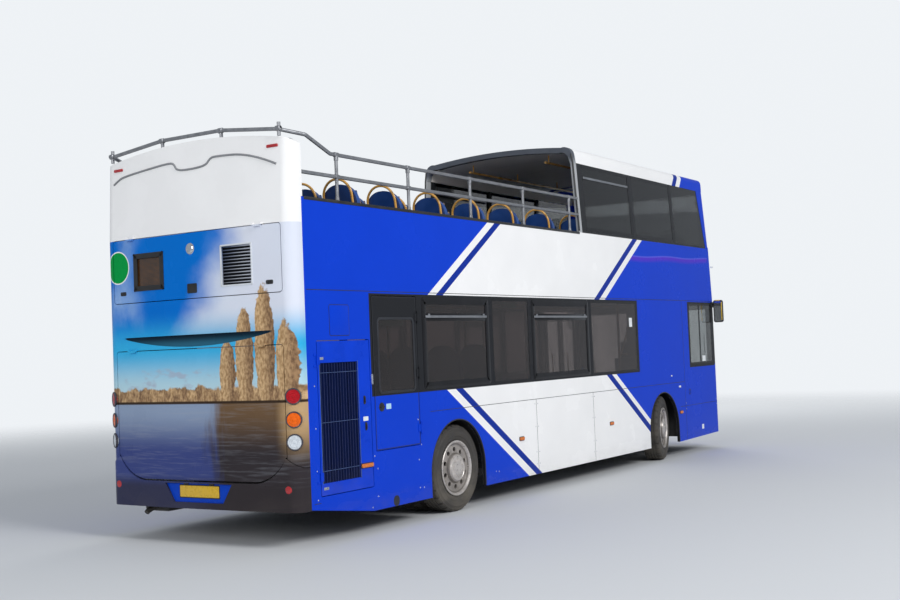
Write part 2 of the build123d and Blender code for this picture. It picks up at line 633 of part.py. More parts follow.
# Wheels. A profile is a list of (radius, width) points, width growing outwards.
def wheel_planes(centre, outward):
    axis = Vector(*outward)
    profile = Plane(origin=centre, x_dir=(0, 0, 1), z_dir=Vector(0, 0, 1).cross(axis))
    return profile, Plane(origin=centre, x_dir=(0, 0, 1), z_dir=axis), Axis(centre, axis)


def turned(plane, axis, points, mode=Mode.ADD):
    with BuildSketch(plane) as section:
        with BuildLine():
            Polyline(points, close=True)
        make_face()
    revolve(section.sketch, axis=axis, mode=mode)


HALF_TYRE = TYRE_W / 2
TYRE_PROFILE = [(RIM_R - 14, -105), (RIM_R + 40, -128), (390, -HALF_TYRE), (455, -126), (TYRE_R, -100), (TYRE_R, 100),
                (455, 126), (390, HALF_TYRE), (RIM_R + 40, 128), (RIM_R - 14, 105)]
RIM_PROFILE = [(RIM_R - 14, -105), (RIM_R, -128), (RIM_R - 16, -128), (262, -100), (250, 60), (222, 84), (110, 92),
               (105, -40), (41, -40), (41, 116), (0, 116), (0, 148), (112, 146), (150, 132), (165, 106), (245, 100),
               (285, 118), (RIM_R - 10, 134), (RIM_R + 4, 128), (RIM_R - 14, 105)]
TWIN = 335
INNER_RIM = [(RIM_R - 14, -105), (RIM_R, -128), (RIM_R - 16, -128), (262, -100), (250, 60), (250, 90), (262, 105),
             (RIM_R - 14, 105)]
HAND_HOLES = 10
HOLE_PITCH_R = 205
HOLE_R = 26


def shifted(points, w):
    return [(r, width + w) for r, width in points]


steer = math.radians(STEER_REST)
for side, name in ((-1, "right"), (1, "left")):
    outward = (-side * math.sin(steer), side * math.cos(steer), 0)
    kingpin = (station(FRONT_AXLE), side * KINGPIN_Y, HUB_Z)
    centre = tuple(k + WHEEL_OFFSET * o for k, o in zip(kingpin, outward))
    profile, face, spin = wheel_planes(centre, outward)
    with BuildPart() as front_tyre:
        turned(profile, spin, TYRE_PROFILE)
    save(front_tyre, f"front_tyre_{name}")
    with BuildPart() as front_rim:
        turned(profile, spin, RIM_PROFILE)
        with BuildSketch(face):
            with PolarLocations(HOLE_PITCH_R, HAND_HOLES):
                Circle(HOLE_R)
        extrude(amount=200, mode=Mode.SUBTRACT)
    save(front_rim, f"front_rim_{name}")
    with BuildPart() as knuckle:
        with BuildSketch(face.offset(-WHEEL_OFFSET + 64)):
            RectangleRounded(236, 120, 20)
        extrude(amount=22)
        for z0, z1 in ((HUB_Z - 116, HUB_Z - 68), (HUB_Z + 68, HUB_Z + 116)):
            with BuildSketch(Plane(origin=(kingpin[0], kingpin[1], z0), x_dir=outward, z_dir=(0, 0, 1))):
                Circle(52)
                with Locations((43, 0)):
                    Rectangle(86, 104)
            extrude(amount=z1 - z0)
        with BuildSketch(face.offset(-WHEEL_OFFSET + 80)):
            Circle(40)
        extrude(amount=WHEEL_OFFSET - 80 + 110)
        with Locations(kingpin):
            Cylinder(28.5, 300, mode=Mode.SUBTRACT)
    save(knuckle, f"knuckle_{name}")

for side, name in ((-1, "right"), (1, "left")):
    outward = (0, side, 0)
    centre = (station(REAR_AXLE), side * 1092.5, HUB_Z)
    profile, face, spin = wheel_planes(centre, outward)
    with BuildPart() as rear_tyres:
        for w in (0, -TWIN):
            turned(profile, spin, shifted(TYRE_PROFILE, w))
    save(rear_tyres, f"rear_tyres_{name}")
    with BuildPart() as rear_rims:
        turned(profile, spin, RIM_PROFILE)
        turned(profile, spin, shifted(INNER_RIM, -TWIN))
        turned(profile, spin, [(51, -300), (120, -300), (120, -250), (252, -250), (252, -100), (232, -100),
                               (232, -235), (105, -235), (105, -40), (51, -40)])
        with BuildSketch(face):
            with PolarLocations(HOLE_PITCH_R, HAND_HOLES):
                Circle(HOLE_R)
        extrude(amount=200, mode=Mode.SUBTRACT)
    save(rear_rims, f"rear_rims_{name}")

# Guard rails round the open deck
TUBE_R = 19
GUARD_Y = 1232
GUARD_START = 700
GUARD_POSTS = [790, 2020, 3270, 4510, 5750]
MID_RAIL_Z = 3530
REAR_RAIL_S = 62
REAR_POSTS = [400, 1130]
with BuildPart() as guard_rails:
    with BuildLine() as over_rear:
        FilletPolyline([(station(GUARD_START), -GUARD_Y, GUARD_Z), (station(330), -GUARD_Y, 3890),
                        (station(REAR_RAIL_S), -1120, 3925), (station(REAR_RAIL_S), -400, 4005),
                        (station(REAR_RAIL_S), 400, 4005), (station(REAR_RAIL_S), 1120, 3925),
                        (station(330), GUARD_Y, 3890), (station(GUARD_START), GUARD_Y, GUARD_Z)], radius=60)
    with BuildSketch(over_rear.line ^ 0):
        Circle(TUBE_R)
    sweep()
    for side in (-1, 1):
        for z, s0 in ((GUARD_Z, GUARD_START), (MID_RAIL_Z, REAR_END + 20)):
            with Locations(Location((station((s0 + CANOPY_START) / 2), side * GUARD_Y, z), (0, 90, 0))):
                Cylinder(TUBE_R, CANOPY_START - s0)
        for s in GUARD_POSTS:
            with Locations((station(s), side * GUARD_Y, (RAIL_BASE_Z + GUARD_Z) / 2)):
                Cylinder(TUBE_R - 2, GUARD_Z - RAIL_BASE_Z)
        for y in REAR_POSTS:
            foot = REAR_TOP_Z[1] - (REAR_TOP_Z[1] - REAR_TOP_Z[0]) * (y / HALF) ** 2
            with Locations((station(REAR_RAIL_S + 8), side * y, (foot + 3990) / 2)):
                Cylinder(TUBE_R - 2, 3990 - foot)
save(guard_rails, "guard_rails")


# Seats. One pair is a pair of shells on a bar that runs from an aisle leg to the wall.
SEAT_W = 440
SEAT_GAP = 20
AISLE_Y = 300
SEAT_BAR = (80, 300)
SEAT_BAR_Z = 350
# width and height of the rounding at each top corner of a backrest
SHOULDER = (205, 190)
# station and height from the foot of the backrest
SEAT_SHELL = [(445, 450), (60, 432), (-52, 990), (-100, 990), (-5, 385), (435, 405)]


def seat_pair(side, s, floor):
    for i in range(2):
        y = AISLE_Y + i * (SEAT_W + SEAT_GAP)
        y0, y1 = sorted((side * y, side * (y + SEAT_W)))
        side_sketch([(s + run, floor + z) for run, z in SEAT_SHELL], y0, y1)
        # the backrest narrows to a rounded top
        for edge, centre in ((y0, y0 + SHOULDER[0]), (y1, y1 - SHOULDER[0])):
            with BuildSketch(Plane.YZ.offset(station(s - 200))) as shoulder:
                with Locations(((edge + centre) / 2, floor + 990 - SHOULDER[1] / 2)):
                    Rectangle(SHOULDER[0], SHOULDER[1])
                with Locations((centre, floor + 990 - SHOULDER[1])):
                    Ellipse(SHOULDER[0], SHOULDER[1], mode=Mode.SUBTRACT)
            extrude(shoulder.sketch, amount=400, mode=Mode.SUBTRACT)


def seat_frame(side, s, floor):
    """The bar that carries a pair of seats from an aisle leg to the wall, cut to their slope."""
    (_, _), (_, _), _, _, (foot_s, foot_z), (lip_s, lip_z) = SEAT_SHELL
    slope = (lip_z - foot_z) / (lip_s - foot_s)
    bar = [(s + run, floor + foot_z + slope * (run - foot_s)) for run in SEAT_BAR]
    y0, y1 = sorted((side * (AISLE_Y + 60), side * INNER))
    side_sketch(bar + [(s + SEAT_BAR[1], floor + SEAT_BAR_Z), (s + SEAT_BAR[0], floor + SEAT_BAR_Z)], y0, y1)
    y0, y1 = sorted((side * (AISLE_Y + 60), side * (AISLE_Y + 100)))
    block(s + 120, s + 260, y0, y1, floor, floor + SEAT_BAR_Z)


ROWS_OPEN = [1220, 1970, 2840, 3655, 4465, 5400, 6400]
UPPER_ROWS_LEFT = ROWS_OPEN + [7300, 8150, 9000, 9850]
UPPER_ROWS_RIGHT = ROWS_OPEN + [9850]
# floor height, station of each row
LOWER_ROWS_RIGHT = [(REAR_FLOOR_Z, 2260), (REAR_FLOOR_Z, 3000), (REAR_FLOOR_Z, 3690), (FLOOR_Z, 4750),
                    (FLOOR_Z, 5500), (FLOOR_Z, 6250), (FLOOR_Z, 6950)]
LOWER_ROWS_LEFT = [(REAR_FLOOR_Z, 1500)] + LOWER_ROWS_RIGHT
HANDLE_R = 13
# half width of the grab handle, height where its arch springs, length of its legs, and how far
# it stands behind the backrest
HANDLE = (180, 868, 120, 20)
pairs = {}
frames = {}
handles = {}
for side in (-1, 1):
    with BuildPart() as pair:
        seat_pair(side, LENGTH / 2, 0)
    pairs[side] = pair.part
    with BuildPart() as seat_bar:
        seat_frame(side, LENGTH / 2, 0)
    frames[side] = seat_bar.part
    with BuildPart() as handle:
        half, spring_z, leg, behind = HANDLE
        (top_s, top_z), (foot_s, foot_z) = SEAT_SHELL[3:5]
        normal = Vector(top_z - foot_z, 0, foot_s - top_s).normalized()
        rear_s = foot_s + (top_s - foot_s) * (spring_z - foot_z) / (top_z - foot_z)
        for i in range(2):
            y = side * (AISLE_Y + SEAT_W / 2 + i * (SEAT_W + SEAT_GAP))
            leaning = Plane(origin=Vector(rear_s, y, spring_z) - normal * behind, x_dir=(0, 1, 0), z_dir=normal)
            with BuildLine(leaning) as hoop:
                Line((-half, -leg), (-half, 0))
                ThreePointArc((-half, 0), (0, half), (half, 0))
                Line((half, 0), (half, -leg))
            with BuildSketch(hoop.line ^ 0):
                Circle(HANDLE_R)
            sweep()
            # pegs that fix the legs to the backrest
            with BuildSketch(leaning):
                with Locations((-half, 12 - leg), (half, 12 - leg)):
                    Circle(HANDLE_R - 4)
            extrude(amount=behind)
    handles[side] = handle.part

UPPER_RIGHT = [(DECK_Z, s) for s in UPPER_ROWS_RIGHT]
UPPER_LEFT = [(DECK_Z, s) for s in UPPER_ROWS_LEFT]
for label, pieces, right, left in (
        ("seats_upper", pairs, UPPER_RIGHT, UPPER_LEFT),
        ("seat_handles", handles, UPPER_RIGHT, UPPER_LEFT),
        ("seats_lower", pairs, LOWER_ROWS_RIGHT, LOWER_ROWS_LEFT),
        ("seat_frames", frames, UPPER_RIGHT + LOWER_ROWS_RIGHT, UPPER_LEFT + LOWER_ROWS_LEFT)):
    with BuildPart() as rows:
        for side, places in ((-1, right), (1, left)):
            with Locations([(station(s), 0, floor) for floor, s in places]):
                add(pieces[side])
    save(rows, label)

# Driver's place
CAB_Y = -750
with BuildPart() as driver_seat:
    side_sketch([(9650 + run, FLOOR_Z + z) for run, z in SEAT_SHELL], CAB_Y - 240, CAB_Y + 240)
    block(9740, 9990, CAB_Y - 170, CAB_Y + 170, FLOOR_Z, FLOOR_Z + 400)
save(driver_seat, "driver_seat")

DASH = [(10740, FLOOR_Z), (10480, FLOOR_Z), (10450, 800), (10400, 1010), (10520, 1130), (10740, 1130)]
with BuildPart() as dashboard:
    side_sketch(DASH, -1200, -280)
save(dashboard, "dashboard")

WHEEL_HUB = (10290, 1160)
with BuildPart() as steering_wheel:
    tilt = math.radians(35)
    hub = (station(WHEEL_HUB[0]), CAB_Y, WHEEL_HUB[1])
    axis_dir = Vector(-math.sin(tilt), 0, math.cos(tilt))
    with Locations(Plane(origin=hub, x_dir=(0, 1, 0), z_dir=axis_dir).location):
        Torus(220, 15)
        Cylinder(50, 24)
        for turn in (90, 210, 330):
            with Locations(Location((0, 0, 0), (0, 0, turn)) * Location((120, 0, 0))):
                Box(200, 24, 12)
        with Locations((0, 0, -100)):
            Cylinder(26, 200)
    side_sketch(DASH, -1200, -280, mode=Mode.SUBTRACT)
save(steering_wheel, "steering_wheel")

CAB_BACK = 9440
CAB_SIDE = -300
with BuildPart() as cab_partition:
    block(CAB_BACK, CAB_BACK + 25, -INNER, CAB_SIDE, FLOOR_Z, DECK_Z - DECK_T)
    block(CAB_BACK + 25, 9500, CAB_SIDE - 30, CAB_SIDE, FLOOR_Z, 1350)
    for z in (500, 1200):
        block(9495, 9520, CAB_SIDE - 25, CAB_SIDE - 5, z - 65, z - 45)
        with Locations((station(9520), CAB_SIDE - 15, z - 55)):
            Cylinder(12, 20)
        with Locations((station(9520), CAB_SIDE - 15, z)):
            Cylinder(5, 130)
save(cab_partition, "cab_partition")

with BuildPart() as cab_door:
    block(9540, 10380, CAB_SIDE - 25, CAB_SIDE - 5, FLOOR_Z + 40, 1330)
    for z in (500, 1200):
        with Locations((station(9520), CAB_SIDE - 15, z + 5)):
            Cylinder(12, 90)
            Cylinder(5.5, 100, mode=Mode.SUBTRACT)
        block(9531, 9545, CAB_SIDE - 25, CAB_SIDE - 5, z - 40, z + 50)
save(cab_door, "cab_door")

# Mirrors stand out ahead of the front corners on cranked arms
MIRROR = (10740, 10800, 1290, 1440, 2060, 2430)
MIRROR_RIM = 12
with BuildPart() as mirrors:
    for side in (-1, 1):
        s0, s1, y_in, y_out, z0, z1 = MIRROR
        y0, y1 = sorted((side * y_in, side * y_out))
        with BuildSketch(Plane.YZ.offset(station(s0))) as housing:
            with Locations(((y0 + y1) / 2, (z0 + z1) / 2)):
                RectangleRounded(y1 - y0, z1 - z0, 34)
        extrude(housing.sketch, amount=s1 - s0)
        # the mirror glass lies in a shallow recess in the back of the housing
        extrude(offset(housing.sketch, -MIRROR_RIM, mode=Mode.PRIVATE), amount=6, mode=Mode.SUBTRACT)
        y0, y1 = sorted((side * HALF, side * (y_in + 40)))
        with Locations(Location((station(10765), (y0 + y1) / 2, 2360), (90, 0, 0))):
            Cylinder(14, y1 - y0)
        y0, y1 = sorted((side * (HALF - 60), side * (HALF + 12)))
        block(10700, 10800, y0, y1, 2310, 2400)
    end = end_plan(FRONT_FACE, UPPER_END - 200, HALF, FRONT_BOW, FRONT_CORNER, 2200)
    extrude(end, amount=300, mode=Mode.SUBTRACT)
save(mirrors, "mirrors")

# Lamps stand on the body's rounded corners
LAMP_R = 68
LAMP_Z = (995, 1203, 1419)
LAMP_TURN = 31
with BuildPart() as rear_lamps:
    corner_s = REAR_FACE + REAR_BOW + REAR_CORNER
    corner_y = HALF - REAR_CORNER
    for side in (-1, 1):
        turn = math.radians(LAMP_TURN)
        out = Vector(-math.cos(turn), side * math.sin(turn), 0)
        for z in LAMP_Z:
            with Locations(Plane(origin=Vector(station(corner_s), side * corner_y, z) + out * (REAR_CORNER + 12),
                                 z_dir=out).location):
                Cylinder(LAMP_R, 60, align=(Align.CENTER, Align.CENTER, Align.MAX))
    body = end_plan(REAR_FACE, REAR_END + 200, HALF, REAR_BOW, REAR_CORNER, 800)
    extrude(body, amount=1000, mode=Mode.SUBTRACT)
save(rear_lamps, "rear_lamps")

with BuildPart() as front_lamps:
    end_shell(FRONT_FACE - 8, FRONT_END, FRONT_BOW, FRONT_CORNER, 500, 800)
    with BuildSketch(Plane.YZ.offset(station(FRONT_END))):
        with Locations((-860, 620), (860, 620)):
            RectangleRounded(438, 168, 59)
    extrude(amount=200, mode=Mode.INTERSECT)
save(front_lamps, "front_lamps")

# Entry doors. Each leaf hangs at its middle on the arms of a turning post.
POST_R = 20
POST_PIN_R = 12
ARM_R = 320
LEAF_HALF = 275
LEAF_T = 45
LEAF_Z = (382, 2288)
ARM_Z = ((358, 374), (2296, 2312))
LEAF_PIN_R = 8
DOOR_Y = HALF - WALL / 2
for name, post_s, toward in (("rear", ENTRY[0] + 30, 1), ("front", ENTRY[1] - 30, -1)):
    centre_s = post_s + toward * ARM_R
    with BuildPart() as arms:
        with Locations((station(post_s), DOOR_Y, (FLOOR_Z + ENTRY_TOP) / 2)):
            Cylinder(POST_R, ENTRY_TOP - FLOOR_Z - 14)
            Cylinder(POST_PIN_R, ENTRY_TOP - FLOOR_Z + 40)
        for z0, z1 in ARM_Z:
            s0, s1 = sorted((post_s, centre_s))
            block(s0, s1, DOOR_Y - 17, DOOR_Y + 17, z0, z1)
            with Locations((station(centre_s), DOOR_Y, (z0 + z1) / 2)):
                Cylinder(17, z1 - z0)
                Cylinder(LEAF_PIN_R + 0.5, z1 - z0 + 10, mode=Mode.SUBTRACT)
    save(arms, f"entry_{name}_arms")
    with BuildPart() as leaf:
        block(centre_s - LEAF_HALF, centre_s + LEAF_HALF, DOOR_Y - LEAF_T / 2, DOOR_Y + LEAF_T / 2, *LEAF_Z)
        window_cut(centre_s - LEAF_HALF + 55, centre_s + LEAF_HALF - 55, LEAF_Z[0] + 110, LEAF_Z[1] - 70, 45,
                   DOOR_Y - LEAF_T / 2, DOOR_Y + LEAF_T / 2)
        for z0, z1 in ((LEAF_Z[0] - 24, LEAF_Z[0]), (LEAF_Z[1], LEAF_Z[1] + 24)):
            with Locations((station(centre_s), DOOR_Y, (z0 + z1) / 2)):
                Cylinder(LEAF_PIN_R, z1 - z0)
    save(leaf, f"entry_{name}_leaf")
    with BuildPart() as pane:
        window_cut(centre_s - LEAF_HALF + 55, centre_s + LEAF_HALF - 55, LEAF_Z[0] + 110, LEAF_Z[1] - 70, 45,
                   DOOR_Y - GLASS_T / 2, DOOR_Y + GLASS_T / 2, mode=Mode.ADD)
    save(pane, f"entry_{name}_glass")

# Emergency door, with its pane
EMERGENCY_PANE = (1330, 1970, 1380, 2140)
with BuildPart() as emergency_door:
    s0, s1, z0, z1 = EMERGENCY
    window_cut(s0 + GAP, s1 - GAP, z0 + GAP, z1 - GAP, 14, -HALF, -INNER, mode=Mode.ADD)
    s0, s1, z0, z1 = EMERGENCY_PANE
    window_cut(s0, s1, z0, z1, WINDOW_R, -HALF, -INNER)
    for z in EMERGENCY_HINGE_Z:
        swinging_hinge(EMERGENCY[1] + 3, -1, z)
save(emergency_door, "emergency_door")

with BuildPart() as emergency_glass:
    s0, s1, z0, z1 = EMERGENCY_PANE
    window_cut(s0, s1, z0, z1, WINDOW_R, 2 - HALF, 2 - HALF + GLASS_T, mode=Mode.ADD)
save(emergency_glass, "emergency_glass")

# Radiator door: a frame with upright slats behind three bars
GRILLE = (385, 972, 575, 1715)
SLATS = 18
GRILLE_BARS = (660, 1147, 1630)
with BuildPart() as grille_door:
    s0, s1, z0, z1 = GRILLE_DOOR
    window_cut(s0 + GAP, s1 - GAP, z0 + GAP, z1 - GAP, 14, -HALF, -INNER, mode=Mode.ADD)
    s0, s1, z0, z1 = GRILLE
    block(s0, s1, -HALF - 1, -INNER + 1, z0, z1, mode=Mode.SUBTRACT)
    pitch = (s1 - s0) / SLATS
    for i in range(SLATS):
        s = s0 + pitch * (i + 0.5)
        with Locations(Location((station(s), -HALF + 22, (z0 + z1) / 2), (0, 0, 40))):
            Box(5, 40, z1 - z0)
    for z in GRILLE_BARS:
        block(s0, s1, -HALF + 36, -INNER, z - 12, z + 12)
    for z in GRILLE_HINGE_Z:
        swinging_hinge(GRILLE_DOOR[0] - 3, 1, z)
save(grille_door, "grille_door")
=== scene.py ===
import bpy
import bmesh
import math
from mathutils import Matrix, Vector


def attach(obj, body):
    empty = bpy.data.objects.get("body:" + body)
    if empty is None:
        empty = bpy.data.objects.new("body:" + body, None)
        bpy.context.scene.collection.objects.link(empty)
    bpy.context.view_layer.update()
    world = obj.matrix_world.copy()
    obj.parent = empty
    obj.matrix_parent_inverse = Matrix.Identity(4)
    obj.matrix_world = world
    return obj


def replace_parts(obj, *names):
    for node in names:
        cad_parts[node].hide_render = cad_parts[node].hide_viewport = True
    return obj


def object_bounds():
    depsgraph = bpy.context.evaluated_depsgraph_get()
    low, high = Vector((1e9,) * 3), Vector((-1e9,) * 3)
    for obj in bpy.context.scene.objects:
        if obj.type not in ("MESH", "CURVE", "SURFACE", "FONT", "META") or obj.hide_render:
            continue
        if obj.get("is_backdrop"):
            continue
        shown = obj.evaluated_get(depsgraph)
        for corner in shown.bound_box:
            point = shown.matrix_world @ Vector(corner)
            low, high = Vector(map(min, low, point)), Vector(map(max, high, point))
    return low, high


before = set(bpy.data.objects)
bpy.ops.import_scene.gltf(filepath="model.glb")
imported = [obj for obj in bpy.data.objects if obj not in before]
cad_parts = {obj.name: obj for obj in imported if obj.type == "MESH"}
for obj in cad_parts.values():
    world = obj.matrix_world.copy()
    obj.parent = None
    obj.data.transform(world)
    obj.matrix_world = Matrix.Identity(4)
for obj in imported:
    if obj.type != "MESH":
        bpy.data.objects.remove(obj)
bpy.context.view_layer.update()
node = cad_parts

# Camera: stands on the road behind the bus, a little to its right, at a person's eye height,
# and looks along the right side.
scene = bpy.context.scene


def shown(name, data):
    """A new object in the scene."""
    made = bpy.data.objects.new(name, data)
    scene.collection.objects.link(made)
    return made


EYE = (-14.0365, -8.5312, 1.7996)
HEADING, PITCH, ROLL = (math.radians(a) for a in (32.804, 2.308, -2.327))
ahead = Vector((math.cos(PITCH) * math.cos(HEADING), math.cos(PITCH) * math.sin(HEADING), math.sin(PITCH)))
level_right = Vector((math.sin(HEADING), -math.cos(HEADING), 0))
level_up = level_right.cross(ahead)
right = level_right * math.cos(ROLL) + level_up * math.sin(ROLL)
up = level_up * math.cos(ROLL) - level_right * math.sin(ROLL)
lens = bpy.data.cameras.new("street_camera")
lens.lens = 48.42
lens.sensor_width = 36.0
camera = shown("street_camera", lens)
camera.matrix_world = Matrix.Translation(EYE) @ Matrix((right, up, -ahead)).transposed().to_4x4()
scene.camera = camera
scene.view_settings.view_transform = "Standard"

# Studio: a pale floor, a pale background that the camera and the glass see, and large soft
# lamps. The brightest stands where the sun was, off the bus's right rear.


def either_way(operation):
    """A sum as two methods: a value with what comes after it, and with what comes before."""
    return lambda one, two: maths(operation, one, two), lambda one, two: maths(operation, two, one)


class Value:
    """What a finish works out at each point. Sums over it become nodes of that finish."""

    __add__, __radd__ = either_way("ADD")
    __sub__, __rsub__ = either_way("SUBTRACT")
    __mul__, __rmul__ = either_way("MULTIPLY")
    __truediv__, __rtruediv__ = either_way("DIVIDE")

    def __init__(self, m, socket):
        self.m, self.socket = m, socket

    def __abs__(self):
        return maths("ABSOLUTE", self)


def new_node(m, kind):
    """A new node of a finish or of the world."""
    return m.node_tree.nodes.new("ShaderNode" + kind)


def feed(socket, value):
    """Gives an input a worked value, a colour or a number."""
    if isinstance(value, Value):
        value.m.node_tree.links.new(value.socket, socket)
    elif isinstance(value, tuple):
        socket.default_value = (*value, 1)
    else:
        socket.default_value = value


def feed_all(made, inputs):
    """Gives a node's inputs, by name or number, what they take."""
    for name, value in inputs.items():
        feed(made.inputs[name], value)


def work(kind, settings, inputs, output=0):
    """What a new node makes of its inputs, in the finish that its worked values belong to."""
    m = next(value.m for value in inputs.values() if isinstance(value, Value))
    made = new_node(m, kind)
    for name, choice in settings.items():
        setattr(made, name, choice)
    feed_all(made, inputs)
    return Value(m, made.outputs[output])


def maths(operation, *values):
    """The result of a sum over numbers and worked values."""
    return work("Math", {"operation": operation}, dict(enumerate(values)))


def fade(value, low, high, start=0.0, end=1.0):
    """A smooth change from start to end as a value goes from low to high."""
    return work("MapRange", {"interpolation_type": "SMOOTHSTEP"}, dict(enumerate((value, low, high, start, end))))


def mixed(m, share, shaders):
    """Two shaders mixed by a share of the second."""
    one, two = (Value(m, shader.outputs[0]) for shader in shaders)
    return work("MixShader", {}, {0: share, 1: one, 2: two})


world = bpy.data.worlds.new("studio")
scene.world = world
world.use_nodes = True
sky = world.node_tree.nodes["Background"]
feed_all(sky, {"Color": (0.78, 0.84, 0.92), "Strength": 0.5})
seen = new_node(world, "Background")
feed_all(seen, {"Color": (0.86, 0.89, 0.92)})
path = new_node(world, "LightPath")
by_eye = maths("MAXIMUM", *[Value(world, path.outputs[f"Is {kind} Ray"]) for kind in ("Camera", "Transmission")])
feed(world.node_tree.nodes["World Output"].inputs[0], mixed(world, by_eye, (sky, seen)))
# name, position, aim, size, watts
for name, at, aim, size, watts in (("key", (-7, -20, 14), (0.5, -1, 1.5), 8, 3300),
        ("rear_fill", (-22, -2, 8), (-5, 0, 2.2), 8, 1050), ("front_fill", (16, 6, 9), (4, 0, 2), 8, 900)):
    data = bpy.data.lights.new(name, "AREA")
    data.size = size
    data.energy = watts
    lamp = shown(name, data)
    lamp.visible_glossy = name != "front_fill"
    lamp.location = at
    lamp.rotation_euler = (Vector(aim) - Vector(at)).to_track_quat("-Z", "Y").to_euler()
bm = bmesh.new()
bmesh.ops.create_grid(bm, x_segments=4, y_segments=4, size=90.0)
mesh = bpy.data.meshes.new("studio_floor")
bm.to_mesh(mesh)
bm.free()
ground = shown("studio_floor", mesh)
concrete = bpy.data.materials.new("studio_floor")
concrete.use_nodes = True
shader = concrete.node_tree.nodes["Principled BSDF"]
feed_all(shader, {"Base Color": (0.62, 0.63, 0.64), "Roughness": 0.85})
where = Value(concrete, new_node(concrete, "TexCoord").outputs["Object"])
far = fade(work("VectorMath", {"operation": "LENGTH"}, {0: where}, "Value"), 9, 26)
faded = mixed(concrete, far, (shader, new_node(concrete, "BsdfTransparent")))
feed(concrete.node_tree.nodes["Material Output"].inputs["Surface"], faded)
mesh.materials.append(concrete)
ground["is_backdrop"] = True

# Side walls: aluminium panels in deep blue gloss, with a white field between slanting white
# and navy stripes, and a charcoal window band. The stripes are laid by place on the bus, so
# they run on from panel to panel and over the emergency door.
REAR_X = -5.465
BLUE = (0.003, 0.048, 0.58)
NAVY = (0.006, 0.03, 0.3)
WHITE = (0.895, 0.885, 0.875)
CHARCOAL = (0.02, 0.021, 0.024)
LINING = (0.4, 0.41, 0.43)
ROAD_FILM = (0.17, 0.15, 0.12)
# The panels' paint: hardly patchy, with a fine orange peel.
PANEL = {"patchy": 0.02, "patch": 1.5, "grain": 40.0, "depth": 0.00008}
# station, z and radius of the arch cut-outs, rear and front
ARCHES = ((2.77, 0.463, 0.5565), (8.565, 0.462, 0.5535))


def finish(name, gloss=0.5, metal=0.0, coat=0.0, shine=0.5):
    """A new finish, with the values that are the same all over set on the shader itself."""
    made = bpy.data.materials.new(name)
    made.use_nodes = True
    feed_all(made.node_tree.nodes["Principled BSDF"], {"Roughness": gloss, "Metallic": metal, "Coat Weight": coat,
        "Coat Roughness": 0.05, "Specular IOR Level": shine})
    return made


def distance(across, along):
    """How far a point is from a centre, from its two offsets."""
    return maths("SQRT", across * across + along * along)


def band(value, low, high, soft=0.0015):
    """1 where a value lies between two limits, 0 elsewhere."""
    return fade(value, low - soft, low + soft) * fade(value, high + soft, high - soft)


def over(share, under, top):
    """One colour laid over another."""
    return work("Mix", {"data_type": "RGBA"}, {0: share, 6: under, 7: top}, 2)


def stripes(under, along, bands):
    """Bands of colour over a ground, each from one limit to another along a sloping line."""
    for low, high, colour in bands:
        under = over(band(along, low, high), under, colour)
    return under


def coordinates(m, kind):
    """The three parts of a texture coordinate, and all three at once."""
    where = Value(m, new_node(m, "TexCoord").outputs[kind])
    split = new_node(m, "SeparateXYZ")
    feed(split.inputs[0], where)
    return *(Value(m, output) for output in split.outputs), where


def place(m):
    """Where a point is on the bus: station from the rear bumper, y, z, and all three at once."""
    x, y, z, where = coordinates(m, "Object")
    return x - REAR_X, y, z, where


def cloudy(where, scale, detail=3.0, stretch=(1.0, 1.0, 1.0)):
    """Soft uneven patches, stretched along the axes where wanted."""
    mapping = new_node(where.m, "Mapping")
    mapping.inputs["Scale"].default_value = stretch
    feed(mapping.inputs[0], where)
    mapped = Value(where.m, mapping.outputs[0])
    return work("TexNoise", {}, {"Vector": mapped, "Scale": scale, "Detail": detail}, "Fac")


def cover(m, shade, rough, height, depth, strength=0.6):
    """Gives a finish its worked colour, gloss and fine relief."""
    relief = work("Bump", {}, {"Strength": strength, "Distance": depth, "Height": height})
    base = m.node_tree.nodes["Principled BSDF"]
    feed_all(base, {"Base Color": shade, "Roughness": rough, "Normal": relief})


def weathered(m, colour, gloss, patchy=0.05, patch=5.0, grain=300.0, depth=0.0002, film=0.0, soil=0.5, chips=0.0):
    """Finishes a material: uneven colour and gloss, fine grain, road film below a height, worn specks."""
    _, _, z, where = place(m)
    patches = cloudy(where, patch, 4)
    tone = fade(patches, 0.3, 0.7, 1.0 - patchy, 1.0 + patchy)
    shade = work("HueSaturation", {}, {"Color": colour, "Value": tone})
    spread = min(0.22, 3.0 * patchy)
    rough = fade(patches, 0.35, 0.65, gloss * (1.0 - spread), gloss * (1.0 + spread))
    if chips:
        worn = fade(cloudy(where, 55, 5), 0.70 - chips, 0.74 - chips)
        shade = over(worn * 0.55, shade, ROAD_FILM)
        rough = rough + worn * 0.3
    if film:
        splash = cloudy(where, 3, 6, (1, 1, 2.5))
        dusty = fade(z, 0.2, film, soil, 0) * fade(splash, 0.38, 0.68, 0.15, 1)
        shade = over(dusty, shade, ROAD_FILM)
        rough = rough + dusty * 0.45
    cover(m, shade, rough, cloudy(where, grain, 2), depth)
    return m


def dress(m, *names):
    """Gives CAD nodes one finish."""
    for name in names:
        node[name].data.materials.clear()
        node[name].data.materials.append(m)


